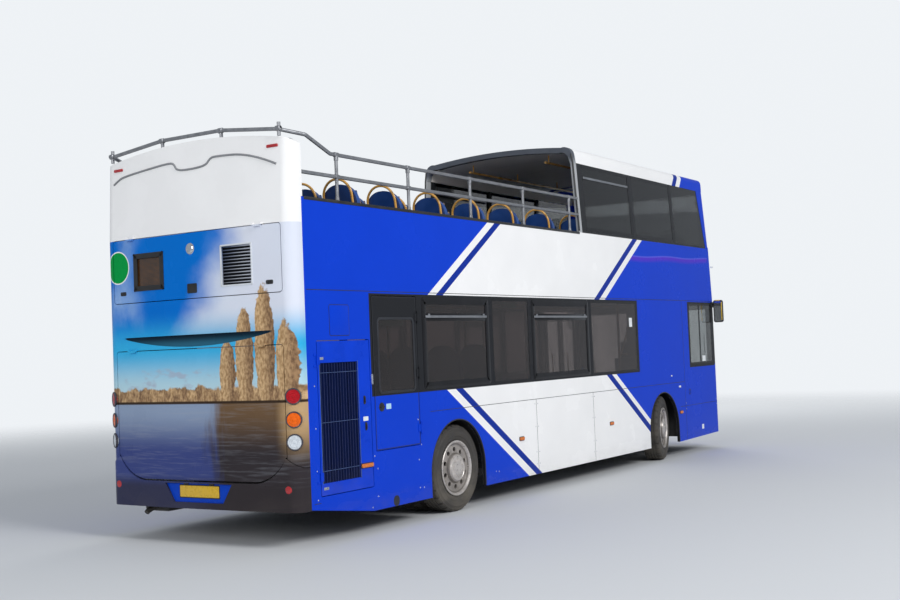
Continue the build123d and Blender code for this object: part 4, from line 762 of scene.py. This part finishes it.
plate(bm, on_front(0, 2.665, -0.001), 1.9, 0.36, 0.004, 0.04)
bowed(bm)
piece("destination_glass", bm, printed_edge)
plate(bm, on_front(0, 1.74, -0.003), 2.26, 1.18, 0.0028, 0.07, rim=0.045)
bowed(bm)
for side in (-1, 1):
    plate(bm, on_front(side * HEADLAMP_Y, HEADLAMP_Z, -0.012), 0.455, 0.185, 0.012, 0.066, rim=0.02, edge=0.003)
    tube(bm, [on_front(side * 1.0, 1.09, 0.004).translation, on_front(side * 1.03, 1.5, 0.01).translation], 0.009)
    tube(bm, [on_front(side * 1.04, 1.18, 0.004).translation, on_front(side * 1.04, 1.85, 0.004).translation], 0.007)
    turned(bm, on_front(side * 1.0, 1.09, -0.004), [(0, 0.02), (0.018, 0.018), (0.022, 0), (0, -0.004)], 20)
piece("front_trim", bm, black_trim)
plate(bm, on_front(0, 0.335, -0.004), *NUMBER_PLATE, edge=0.001)
piece("front_plate", bm, label_white)
for side in (-1, 1):
    for y in (0.76, 0.93):
        turned(bm, on_front(side * y, HEADLAMP_Z, -0.075), [(0.012, 0), (0.0408, 0.018), (0.0612, 0.04),
            (0.068, 0.062), (0.07208, 0.062), (0.068, 0.03), (0.012, -0.006), (0.012, 0)], 36)
piece("headlamp_bowls", bm, chrome)
dress(glazing("headlamp_glass", (0.9, 0.92, 0.93), 0.92, 0.02), "front_lamps")
for side in (-1, 1):
    plate(bm, on_front(side * HEADLAMP_Y, HEADLAMP_Z, -0.085), 0.44, 0.17, 0.004, 0.06)
piece("headlamp_backs", bm, black_trim)

# Canopy: a moulded roof shell, white with a navy and white slash before its blue front, lined
# pale grey inside. Joint lines cross it.
roof_paint = finish("roof_paint", coat=0.03, shine=0.08)
s, y, z, _ = place(roof_paint)
slash = s - (z - 4.26)
colour = stripes(BLUE, slash, [(0, 9.43, WHITE), (9.43, 9.58, NAVY), (9.58, 9.74, WHITE)])
ROOF_JOINTS = (6.95, 7.85, 8.75, 9.65)
for joint in ROOF_JOINTS:
    colour = over(band(s, joint - 0.005, joint + 0.005) * fade(z, 4.45, 4.462), colour, (0.1, 0.1, 0.11))
crown = 4.476 - y * y * 0.068
lined = fade(z - crown, 0.004, -0.004) * fade(abs(y), 1.164, 1.16) * fade(s, 10.745, 10.735)
colour = over(lined, colour, (0.76, 0.7, 0.65))
weathered(roof_paint, colour, 0.4, **PANEL)
dress(roof_paint, "roof_canopy")
for s in ROOF_JOINTS:
    tube(bm, [(s, y, 4.5138 - 0.0573 * y * y) for y in [-1.0 + 0.1 * i for i in range(21)]], 0.006, ring=2)
piece("roof_joints", bm, seal)

# Canopy frame: dark upper pillars, and the satin steel hoop at the open end, with a painted highlight down its posts
# under a darker slate arch. Black beads edge the hoop, and the side panes have printed edges and an aluminium hopper
# bar.
frame_paint = finish("frame_paint", coat=0.05, shine=0.2)
s, _, z, _ = place(frame_paint)
# Painted highlight: the hoop's posts are painted pale below z 4.2, the arch above them darker.
hoop_painted_highlight = over(fade(z, 4.2, 4.33), (0.4, 0.41, 0.42), (0.085, 0.095, 0.115))
weathered(frame_paint, over(fade(s, 6.082, 6.078), (0.014, 0.015, 0.017), hoop_painted_highlight), 0.34, 0.08)
dress(frame_paint, "canopy_frame")
beads, bars, edges = bmesh.new(), bmesh.new(), bmesh.new()
for side in (-1, 1):
    tube(beads, [(5.992, side * y, z) for y, z in ((1.252, 3.31), (1.196, 4.24), (1.178, 4.36))], 0.012)
    block(bars, facing((6.965, side * 1.2092, 4.055), (0, side, 0.055)), 1.43, 0.03, 0.01, 0.003)
    for s0, s1 in ((6.2, 7.745), (7.815, 9.285)):
        at = ((s0 + s1) / 2, side * 1.2202, 3.78)
        plate(edges, facing(at, (0, side, 0.0547)), s1 - s0, 0.915, 0.004, 0.03, rim=0.045)
piece("hoop_beads", beads, black_trim)
piece("canopy_hopper_bars", bars, bar_metal)
piece("canopy_window_edges", edges, printed_edge)

# Guard rails: bright galvanised tube in cast clamps, with flanged feet on the wall top.
rail_metal = stuff("rail_metal", (0.29, 0.295, 0.31), 0.38, 0.12, 14, metal=0.75, grain=600.0)
dress(rail_metal, "guard_rails")
RAIL_Y = 1.232


def clamp(bm, at, along, bore, outer, length, chamfer=0.002):
    """A short sleeve round a tube that passes through a point."""
    profile = [(bore, 0), (outer, chamfer), (outer, length - chamfer), (bore, length)]
    turned(bm, facing(at, along, (1, 0, 0) if along[2] else (0, 0, 1)), profile, 20)


for side in (-1, 1):
    for s in (0.79, 2.02, 3.27, 4.51, 5.75):
        foot = facing((s, side * RAIL_Y, 3.29), (0, 0, 1), (1, 0, 0))
        turned(bm, foot, [(0, 0), (0.027, 0), (0.027, 0.006), (0.021, 0.012), (0.021, 0.035), (0.0175, 0.036),
            (0.0175, 0)], 20)
        for z in (3.53, 3.748):
            clamp(bm, (s - 0.03, side * RAIL_Y, z), (1, 0, 0), 0.0185, 0.0245, 0.06)
        clamp(bm, (s, side * RAIL_Y, 3.69), (0, 0, 1), 0.0165, 0.0225, 0.052)
for side in (-1, 1):
    for y, z in ((0.4, 4.003), (1.13, 3.93)):
        clamp(bm, (0.062, side * y - 0.028, z), (0, 1, 0), 0.0185, 0.026, 0.056, 0.003)
piece("rail_clamps", bm, rail_metal)

# Capping along the top of the open deck's walls: a black moulded strip under the rails, with a
# lip down the outside.
for side in (-1, 1):
    block(bm, facing((3.11, side * 1.2375, 3.2885), (0, 0, 1), (1, 0, 0)), 0.043, 5.74, 0.006, 0.002)
    block(bm, on_side(side, 3.11, 3.2775, -0.001), 5.74, 0.03, 0.0045, 0.0015)
piece("wall_capping", bm, black_trim)

# Running gear: black chassis paint under a coat of road film, seat frames, wheel boxes that are
# black inside their arches, and cast iron for the engine.
REAR_HUB, FRONT_HUB, HUB_Z, FRONT_WHEEL_Y = 2.77, 8.53, 0.478, 0.96
chassis_paint = stuff("chassis_paint", (0.02, 0.02, 0.021), 0.5, 0.3, depth=0.001, film=1.0, chips=0.03)
dress(chassis_paint, "chassis_frame", "cross_members", "front_axle", "rear_axle", "knuckle_right", "knuckle_left")
dress(stuff("seat_steel", (0.06, 0.062, 0.068), 0.45, 0.15, 9, metal=0.3, chips=0.01), "seat_frames")
box_paint = finish("box_paint")
s, y, z, _ = place(box_paint)
front_arch = band(s, 7.952, 9.158) * fade(z, 1.019, 1.017) * fade(abs(y), 0.577, 0.579)
reach = distance(s - REAR_HUB, maths("MAXIMUM", z - ARCHES[0][1], 0))
rear_arch = fade(reach, 0.571, 0.569) * fade(abs(y), 0.597, 0.599)
colour = over(maths("MAXIMUM", front_arch, rear_arch), (0.26, 0.27, 0.29), (0.014, 0.014, 0.015))
weathered(box_paint, colour, 0.5, 0.15, depth=0.0006, film=0.6, soil=0.3)
dress(box_paint, "wheel_boxes")
engine_wear = {"grain": 120.0, "depth": 0.002, "film": 1.1, "chips": 0.04}
dress(stuff("engine_paint", (0.11, 0.115, 0.12), 0.55, 0.3, **engine_wear), "engine")

# Silencer box: pressed steel with a rolled edge, hung under the left rear corner, with its
# tail pipe turned down.
block(bm, facing((0.46, 0.83, 0.262), (0, 0, 1), (1, 0, 0)), 0.34, 0.42, 0.085, 0.02, 3)
tube(bm, [(0.27, 0.83, 0.31), (0.16, 0.83, 0.305), (0.11, 0.83, 0.265)], 0.028, order=3)
piece("silencer", bm, chassis_paint)

# Tyres: road tyres with ribbed sidewalls and a tread of five ribs between circumferential
# grooves, the shoulders cut into blocks. They are spun and then sunk block by block.
HALF_TREAD = [(0.478, 0), (0.478, 0.014), (0.469, 0.016), (0.469, 0.026), (0.478, 0.028), (0.4778, 0.056),
    (0.469, 0.058), (0.469, 0.068), (0.4775, 0.07), (0.4765, 0.092), (0.4745, 0.106), (0.464, 0.118), (0.456, 0.1225),
    (0.454, 0.1262), (0.448, 0.1262), (0.446, 0.125), (0.42, 0.1335), (0.418, 0.1355), (0.414, 0.1355),
    (0.412, 0.1345), (0.39, 0.1372), (0.36, 0.1345), (0.358, 0.1365), (0.354, 0.1362), (0.352, 0.1335), (0.34, 0.129),
    (0.315, 0.124), (0.308, 0.118), (0.299, 0.108)]
TREAD_STEPS = 120


def tyre(bm, placing, offset):
    """One road tyre, its middle plane a distance along the placing's Z."""
    profile = [(r, -w) for r, w in HALF_TREAD[:0:-1]] + HALF_TREAD + [(0.286, 0.105), (0.286, -0.105)]
    part = lathe(profile, TREAD_STEPS, closed=True)
    bmesh.ops.recalc_face_normals(part, faces=part.faces)
    cut = []
    for f in part.faces:
        middle = f.calc_center_median()
        turn = math.atan2(middle.y, middle.x) / math.tau * TREAD_STEPS
        if middle.xy.length > 0.469 and abs(middle.z) > 0.07 and math.floor(turn) % 4 == 0:
            cut.append(f)
    bmesh.ops.inset_region(part, faces=cut, thickness=0.0015, depth=-0.008, use_even_offset=True)
    join(bm, part, placing @ Matrix.Translation((0, 0, offset)))


tyre_rubber = stuff("tyre_rubber", (0.046, 0.041, 0.036), 0.72, 0.22, 8, grain=220.0, depth=0.0006, film=0.75)
STEER = math.radians(13)
wheels = {}
for side, name in ((-1, "right"), (1, "left")):
    out = Vector((-side * math.sin(STEER), side * math.cos(STEER), 0))
    hub = Vector((FRONT_HUB, side * FRONT_WHEEL_Y, HUB_Z)) + out * 0.1375
    wheels[f"front_wheel_{name}"] = (facing(hub, out), f"front_tyre_{name}", f"front_rim_{name}", (0,))
    hub = (REAR_HUB, side * 1.0925, HUB_Z)
    wheels[f"rear_wheels_{name}"] = (facing(hub, (0, side, 0)), f"rear_tyres_{name}", f"rear_rims_{name}",
        (0, -0.335))
for body, (placing, tyres, _, offsets) in wheels.items():
    for offset in offsets:
        tyre(bm, placing, offset)
    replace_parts(piece(f"{body}_tread", bm, tyre_rubber, body), tyres)

# Wheel discs: silver painted steel, dark with brake dust and painted shade in the dish between the hub and the
# flange, with painted shade in the creases round the hub and inside the flange. The hand holes are in the discs
# already; the flange's lip, the raised ring, the nuts, the hub's cap and the tyre valve are added.
wheel_silver = stuff("wheel_silver", (0.6, 0.555, 0.52), 0.34, 0.1, 18, metal=0.6, grain=500.0, film=0.5, chips=0.02)
wheel_disc = finish("wheel_disc", metal=0.5)
s, y, z, _ = place(wheel_disc)
beyond = y - maths("SIGN", y) * FRONT_WHEEL_Y
ahead_of = (s - FRONT_HUB) * math.cos(STEER) + beyond * math.sin(STEER)
radius = distance(maths("MINIMUM", abs(ahead_of), abs(s - REAR_HUB)), z - HUB_Z)
# Brake dust and painted shade darken the dish; painted shade darkens the two creases.
dust_and_painted_shade = band(radius, 0.152, 0.286, 0.012) * 0.55
crease_painted_shade = maths("MAXIMUM", band(radius, 0.148, 0.172, 0.01), band(radius, 0.256, 0.276, 0.01))
colour = over(dust_and_painted_shade, (0.56, 0.515, 0.48), (0.22, 0.19, 0.165))
colour = over(crease_painted_shade * 0.6, colour, (0.07, 0.06, 0.052))
weathered(wheel_disc, colour, 0.4, 0.14, 18, grain=500.0, film=0.6, chips=0.02)
for body, (placing, _, rims, _) in wheels.items():
    dress(wheel_disc, rims)
    turned(bm, placing, [(0.112, 0.1455), (0.126, 0.144), (0.13, 0.1475), (0.138, 0.1445), (0.142, 0.1335)], 64)
    turned(bm, placing, [(0, 0.1515), (0.06, 0.151), (0.072, 0.149), (0.076, 0.147)], 48)
    for i in range(10):
        turn = Matrix.Rotation(math.tau * (i + 0.5) / 10, 4, "Z")
        nut = placing @ turn @ Matrix.Translation((0.0945, 0, 0.1465))
        turned(bm, nut, [(0, 0.009), (0.005, 0.009), (0.0065, 0), (0, 0)], 6)
    turned(bm, placing, [(0.272, 0.11), (0.279, 0.124), (0.286, 0.1325), (0.298, 0.1355), (0.3045, 0.131),
        (0.3045, 0.122), (0.272, 0.11)], 96)
    tube(bm, [placing @ Vector((0.255, 0, 0.105)), placing @ Vector((0.262, 0, 0.13))], 0.004)
    piece(f"{body}_trim", bm, wheel_silver, body)

# Wheel arches: black rubber lips that follow the cut-outs a little inside their edge, down to
# the skirt's foot, and mud flaps behind the rear wheels.
LIP_INSET, LIP_Y, LIP_FOOT = 0.0035, 1.255, 0.235
for side in (-1, 1):
    for s, z, radius in ARCHES:
        turns = [math.radians(6 * i) for i in range(31)]
        rim = [(s + (radius - LIP_INSET) * math.cos(a), z + (radius - LIP_INSET) * math.sin(a)) for a in turns]
        rim = [(rim[0][0], LIP_FOOT)] + rim + [(rim[-1][0], LIP_FOOT)]
        tube(bm, [(at, side * LIP_Y, height) for at, height in rim], 0.009, ring=2)
    block(bm, facing((2.2, side * 1.04, 0.36), (-1, 0, 0)), 0.3, 0.36, 0.008, 0.002)
piece("arch_lips", bm, black_trim)

# Seats of the open deck and the saloon: blue moulded shells with gold grab hoops. Each has a
# stuffed seat pad and back pad in a woven blue cover with gold flecks.
dress(stuff("seat_shell", (0.01, 0.06, 0.25), 0.38, 0.12, 6, coat=0.25, grain=800.0, chips=0.01), "seats_upper",
    "seats_lower", "driver_seat")
gold = stuff("handle_enamel", (0.66, 0.34, 0.065), 0.3, 0.08, 9, coat=0.4, chips=0.01)
dress(gold, "seat_handles")
weave = finish("seat_weave", gloss=0.8)
s, y, z, where = place(weave)
threads = maths("SINE", y * 900.0) * maths("SINE", (s + z) * 900.0)
flecks = fade(cloudy(where, 42, 3), 0.56, 0.62)
colour = over(flecks, (0.006, 0.04, 0.17), (0.03, 0.22, 0.46))
colour = over(fade(cloudy(where, 30, 2), 0.6, 0.66), colour, (0.5, 0.26, 0.05))
feed_all(weave.node_tree.nodes["Principled BSDF"], {"Sheen Weight": 0.35})
shade = over(fade(threads, -1, 1, 0, 0.35), colour, (0.004, 0.02, 0.08))
cover(weave, shade, fade(threads, -1, 1, 0.75, 0.92), threads, 0.0006, 0.5)
PAD_VOXEL = 0.016
PAD_CAP = 0.01
PAD_FRAMES = 20


def as_modified(made):
    """An object's mesh as its modifiers leave it. The modifiers then go."""
    mesh = bpy.data.meshes.new_from_object(made.evaluated_get(bpy.context.evaluated_depsgraph_get()))
    made.modifiers.clear()
    return mesh


def stuffed(name, width, length, thick):
    """A pad blown up from a thinner one, then held to a small swell, so its edges pull in."""
    bm = bmesh.new()
    bmesh.ops.create_cube(bm, size=1.0, matrix=Matrix.Diagonal((length - 0.02, width - 0.02, thick - 0.012, 1)))
    ease(bm, list(bm.edges), 0.016, 3)
    mesh = bpy.data.meshes.new(name)
    bm.to_mesh(mesh)
    bm.free()
    made = shown(name, mesh)
    remesh = made.modifiers.new("remesh", "REMESH")
    remesh.mode = "VOXEL"
    remesh.voxel_size = PAD_VOXEL
    made.data = mesh = as_modified(made)
    before = [v.co.copy() for v in mesh.vertices]
    cloth = made.modifiers.new("cloth", "CLOTH")
    cloth.settings.use_pressure = True
    cloth.settings.uniform_pressure_force = 4.0
    cloth.settings.effector_weights.gravity = 0.0
    for step in range(1, PAD_FRAMES + 1):
        scene.frame_set(step)
    swollen = as_modified(made)
    for vertex, start, end in zip(mesh.vertices, before, swollen.vertices):
        move = end.co - start
        vertex.co = start + move.normalized() * min(move.length, PAD_CAP)
    bpy.data.meshes.remove(swollen)
    scene.frame_set(1)
    bpy.data.objects.remove(made)
    return mesh


seat_pad = stuffed("seat_pad", 0.415, 0.34, 0.05)
back_pad = stuffed("back_pad", 0.4, 0.43, 0.04)
DECK = 2.52
OPEN_ROWS = [1.22, 1.97, 2.84, 3.655, 4.465, 5.4, 6.4]
SALOON_RIGHT = [(0.85, 2.26), (0.85, 3), (0.85, 3.69), (0.35, 4.75), (0.35, 5.5), (0.35, 6.25), (0.35, 6.95)]
# Each row of two seats: side, floor, station.
upper_rows = [(-1, DECK, s) for s in OPEN_ROWS + [9.85]] + [(1, DECK, s) for s in OPEN_ROWS + [7.3, 8.15, 9, 9.85]]
lower_rows = [(-1, *row) for row in SALOON_RIGHT] + [(1, *row) for row in [(0.85, 1.5)] + SALOON_RIGHT]
# The seat lies at 2.7 degrees and the back leans 11.4 degrees.
SEAT_AT = Matrix.Translation((0.262, 0, 0.47)) @ Matrix.Rotation(math.radians(-2.7), 4, "Y")
BACK_AT = Matrix.Translation((0.0295, 0, 0.735)) @ Matrix.Rotation(math.radians(78.6), 4, "Y")
PADS = ((seat_pad, SEAT_AT, "seat_pads"), (back_pad, BACK_AT, "back_pads"))


def lay(bm, pad, at, tilt):
    """Lays a copy of a pad on the seat at a place."""
    one = bmesh.new()
    one.from_mesh(pad)
    join(bm, one, Matrix.Translation(at) @ tilt)


for deck, rows in (("upper", upper_rows), ("lower", lower_rows)):
    for pad, tilt, label in PADS:
        for side, floor, s in rows:
            for y in (0.52, 0.98):
                lay(bm, pad, (s, side * y, floor), tilt)
        piece(f"{label}_{deck}", bm, weave, angle=60.0)
for pad, tilt, _ in PADS:
    lay(bm, pad, (9.65, -0.75, 0.35), tilt)
piece("driver_pads", bm, weave, angle=60.0)

# Cabin: grey moulded linings and partitions, speckled vinyl floors, and gold stanchions from
# floor to ceiling in the saloon, with blank green exit plates over two windows.
dress(stuff("cabin_plastic", (0.32, 0.33, 0.35), 0.5, 0.06, grain=900.0), "stairs", "cab_partition", "cab_door")
dress(stuff("dash_plastic", (0.035, 0.036, 0.039), 0.55, 0.1, grain=700.0), "dashboard", "steering_wheel")
vinyl = finish("floor_vinyl")
specks = fade(cloudy(place(vinyl)[3], 160, 2), 0.62, 0.66)
weathered(vinyl, over(specks, (0.05, 0.056, 0.066), (0.3, 0.31, 0.33)), 0.55, 0.15, 3)
dress(vinyl, "lower_floor", "upper_floor")
for s, y, z0 in ((4.45, -0.34, 0.35), (4.45, 0.34, 0.35), (6.02, -0.34, 0.35), (6.02, 0.34, 0.35), (2.78, 0.34, 0.85),
        (2.78, -0.34, 0.85), (7.36, 0.34, 0.35), (9.3, 0.34, 0.35)):
    tube(bm, [(s, y, z) for z in (z0, 2.44)], 0.0165)
tube(bm, [(7.34, -1.12, z) for z in (0.35, 2.44)], 0.0175)
HANDRAIL = ((7.44, -1.19, 1.62), (7.44, -1.1, 1.62), (7.72, -1.1, 2), (7.72, -1.19, 2))
tube(bm, HANDRAIL, 0.0165)
for side in (-1, 1):
    tube(bm, [(s, side * 0.34, 2.36) for s in (1.6, 9.3)], 0.0165)
    tube(bm, [(s, side * 0.62, 4.34) for s in (6.3, 10.2)], 0.0165)
    for s in (6.4, 7.7, 9, 10.1):
        tube(bm, [(s, side * 0.62, z) for z in (4.34, 4.45)], 0.01)
piece("stanchions", bm, gold)
plate(bm, on_side(-1, 1.65, 2.1, -0.06), 0.42, 0.075, 0.006, 0.008)
plate(bm, on_side(-1, 4.03, 2.3, -0.03), 0.36, 0.075, 0.006, 0.008)
piece("exit_plates", bm, stuff("exit_green", (0.02, 0.3, 0.13), 0.35, 0.05, 20, coat=0.2))

# Entry doors: black framed glass leaves on turning posts, with rubber edges where they meet
# and a grab bar inside each.
door_black = stuff("door_black", (0.018, 0.019, 0.021), 0.32, 0.15, coat=0.3, film=0.7)
GRAB_BAR = ((1.213, 1.05), (1.195, 1.08), (1.195, 1.62), (1.213, 1.65))
for name, centre, meeting in (("rear", 9.77, 0.272), ("front", 10.33, -0.272)):
    dress(door_black, f"entry_{name}_leaf", f"entry_{name}_arms")
    plate(bm, on_side(1, centre, 1.345, -0.0005), 0.46, 1.73, 0.003, 0.05, rim=0.018, edge=0.001)
    block(bm, on_side(1, centre + meeting, 1.335, -0.04), 0.01, 1.9, 0.036, 0.003)
    piece(f"entry_{name}_seals", bm, seal, f"entry_{name}_door")
    tube(bm, [(centre - 0.12, y, z) for y, z in GRAB_BAR], 0.012)
    piece(f"entry_{name}_bar", bm, gold, f"entry_{name}_door")

# Mirrors: black moulded heads on short arms, with silvered glass facing back, and yellow strips
# along the outer and upper edge.
MIRROR_Y, MIRROR_Z = 1.365, 2.245
dress(black_trim, "mirrors")
glass, edging = bmesh.new(), bmesh.new()
for side in (-1, 1):
    plate(glass, facing((10.7455, side * MIRROR_Y, MIRROR_Z), (-1, 0, 0)), 0.122, 0.342, 0.003, 0.022)
    block(edging, facing((10.738, side * 1.432, MIRROR_Z), (-1, 0, 0)), 0.014, 0.3, 0.004, 0.0015)
    block(edging, facing((10.738, side * MIRROR_Y, 2.424), (-1, 0, 0)), 0.09, 0.014, 0.004, 0.0015)
piece("mirror_glass", glass, stuff("silvered_glass", (0.8, 0.81, 0.82), 0.03, 0.02, metal=1.0))
piece("mirror_edges", edging, stuff("edge_yellow", (0.8, 0.5, 0.02), 0.35, 0.05, 20, coat=0.3))

low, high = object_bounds()
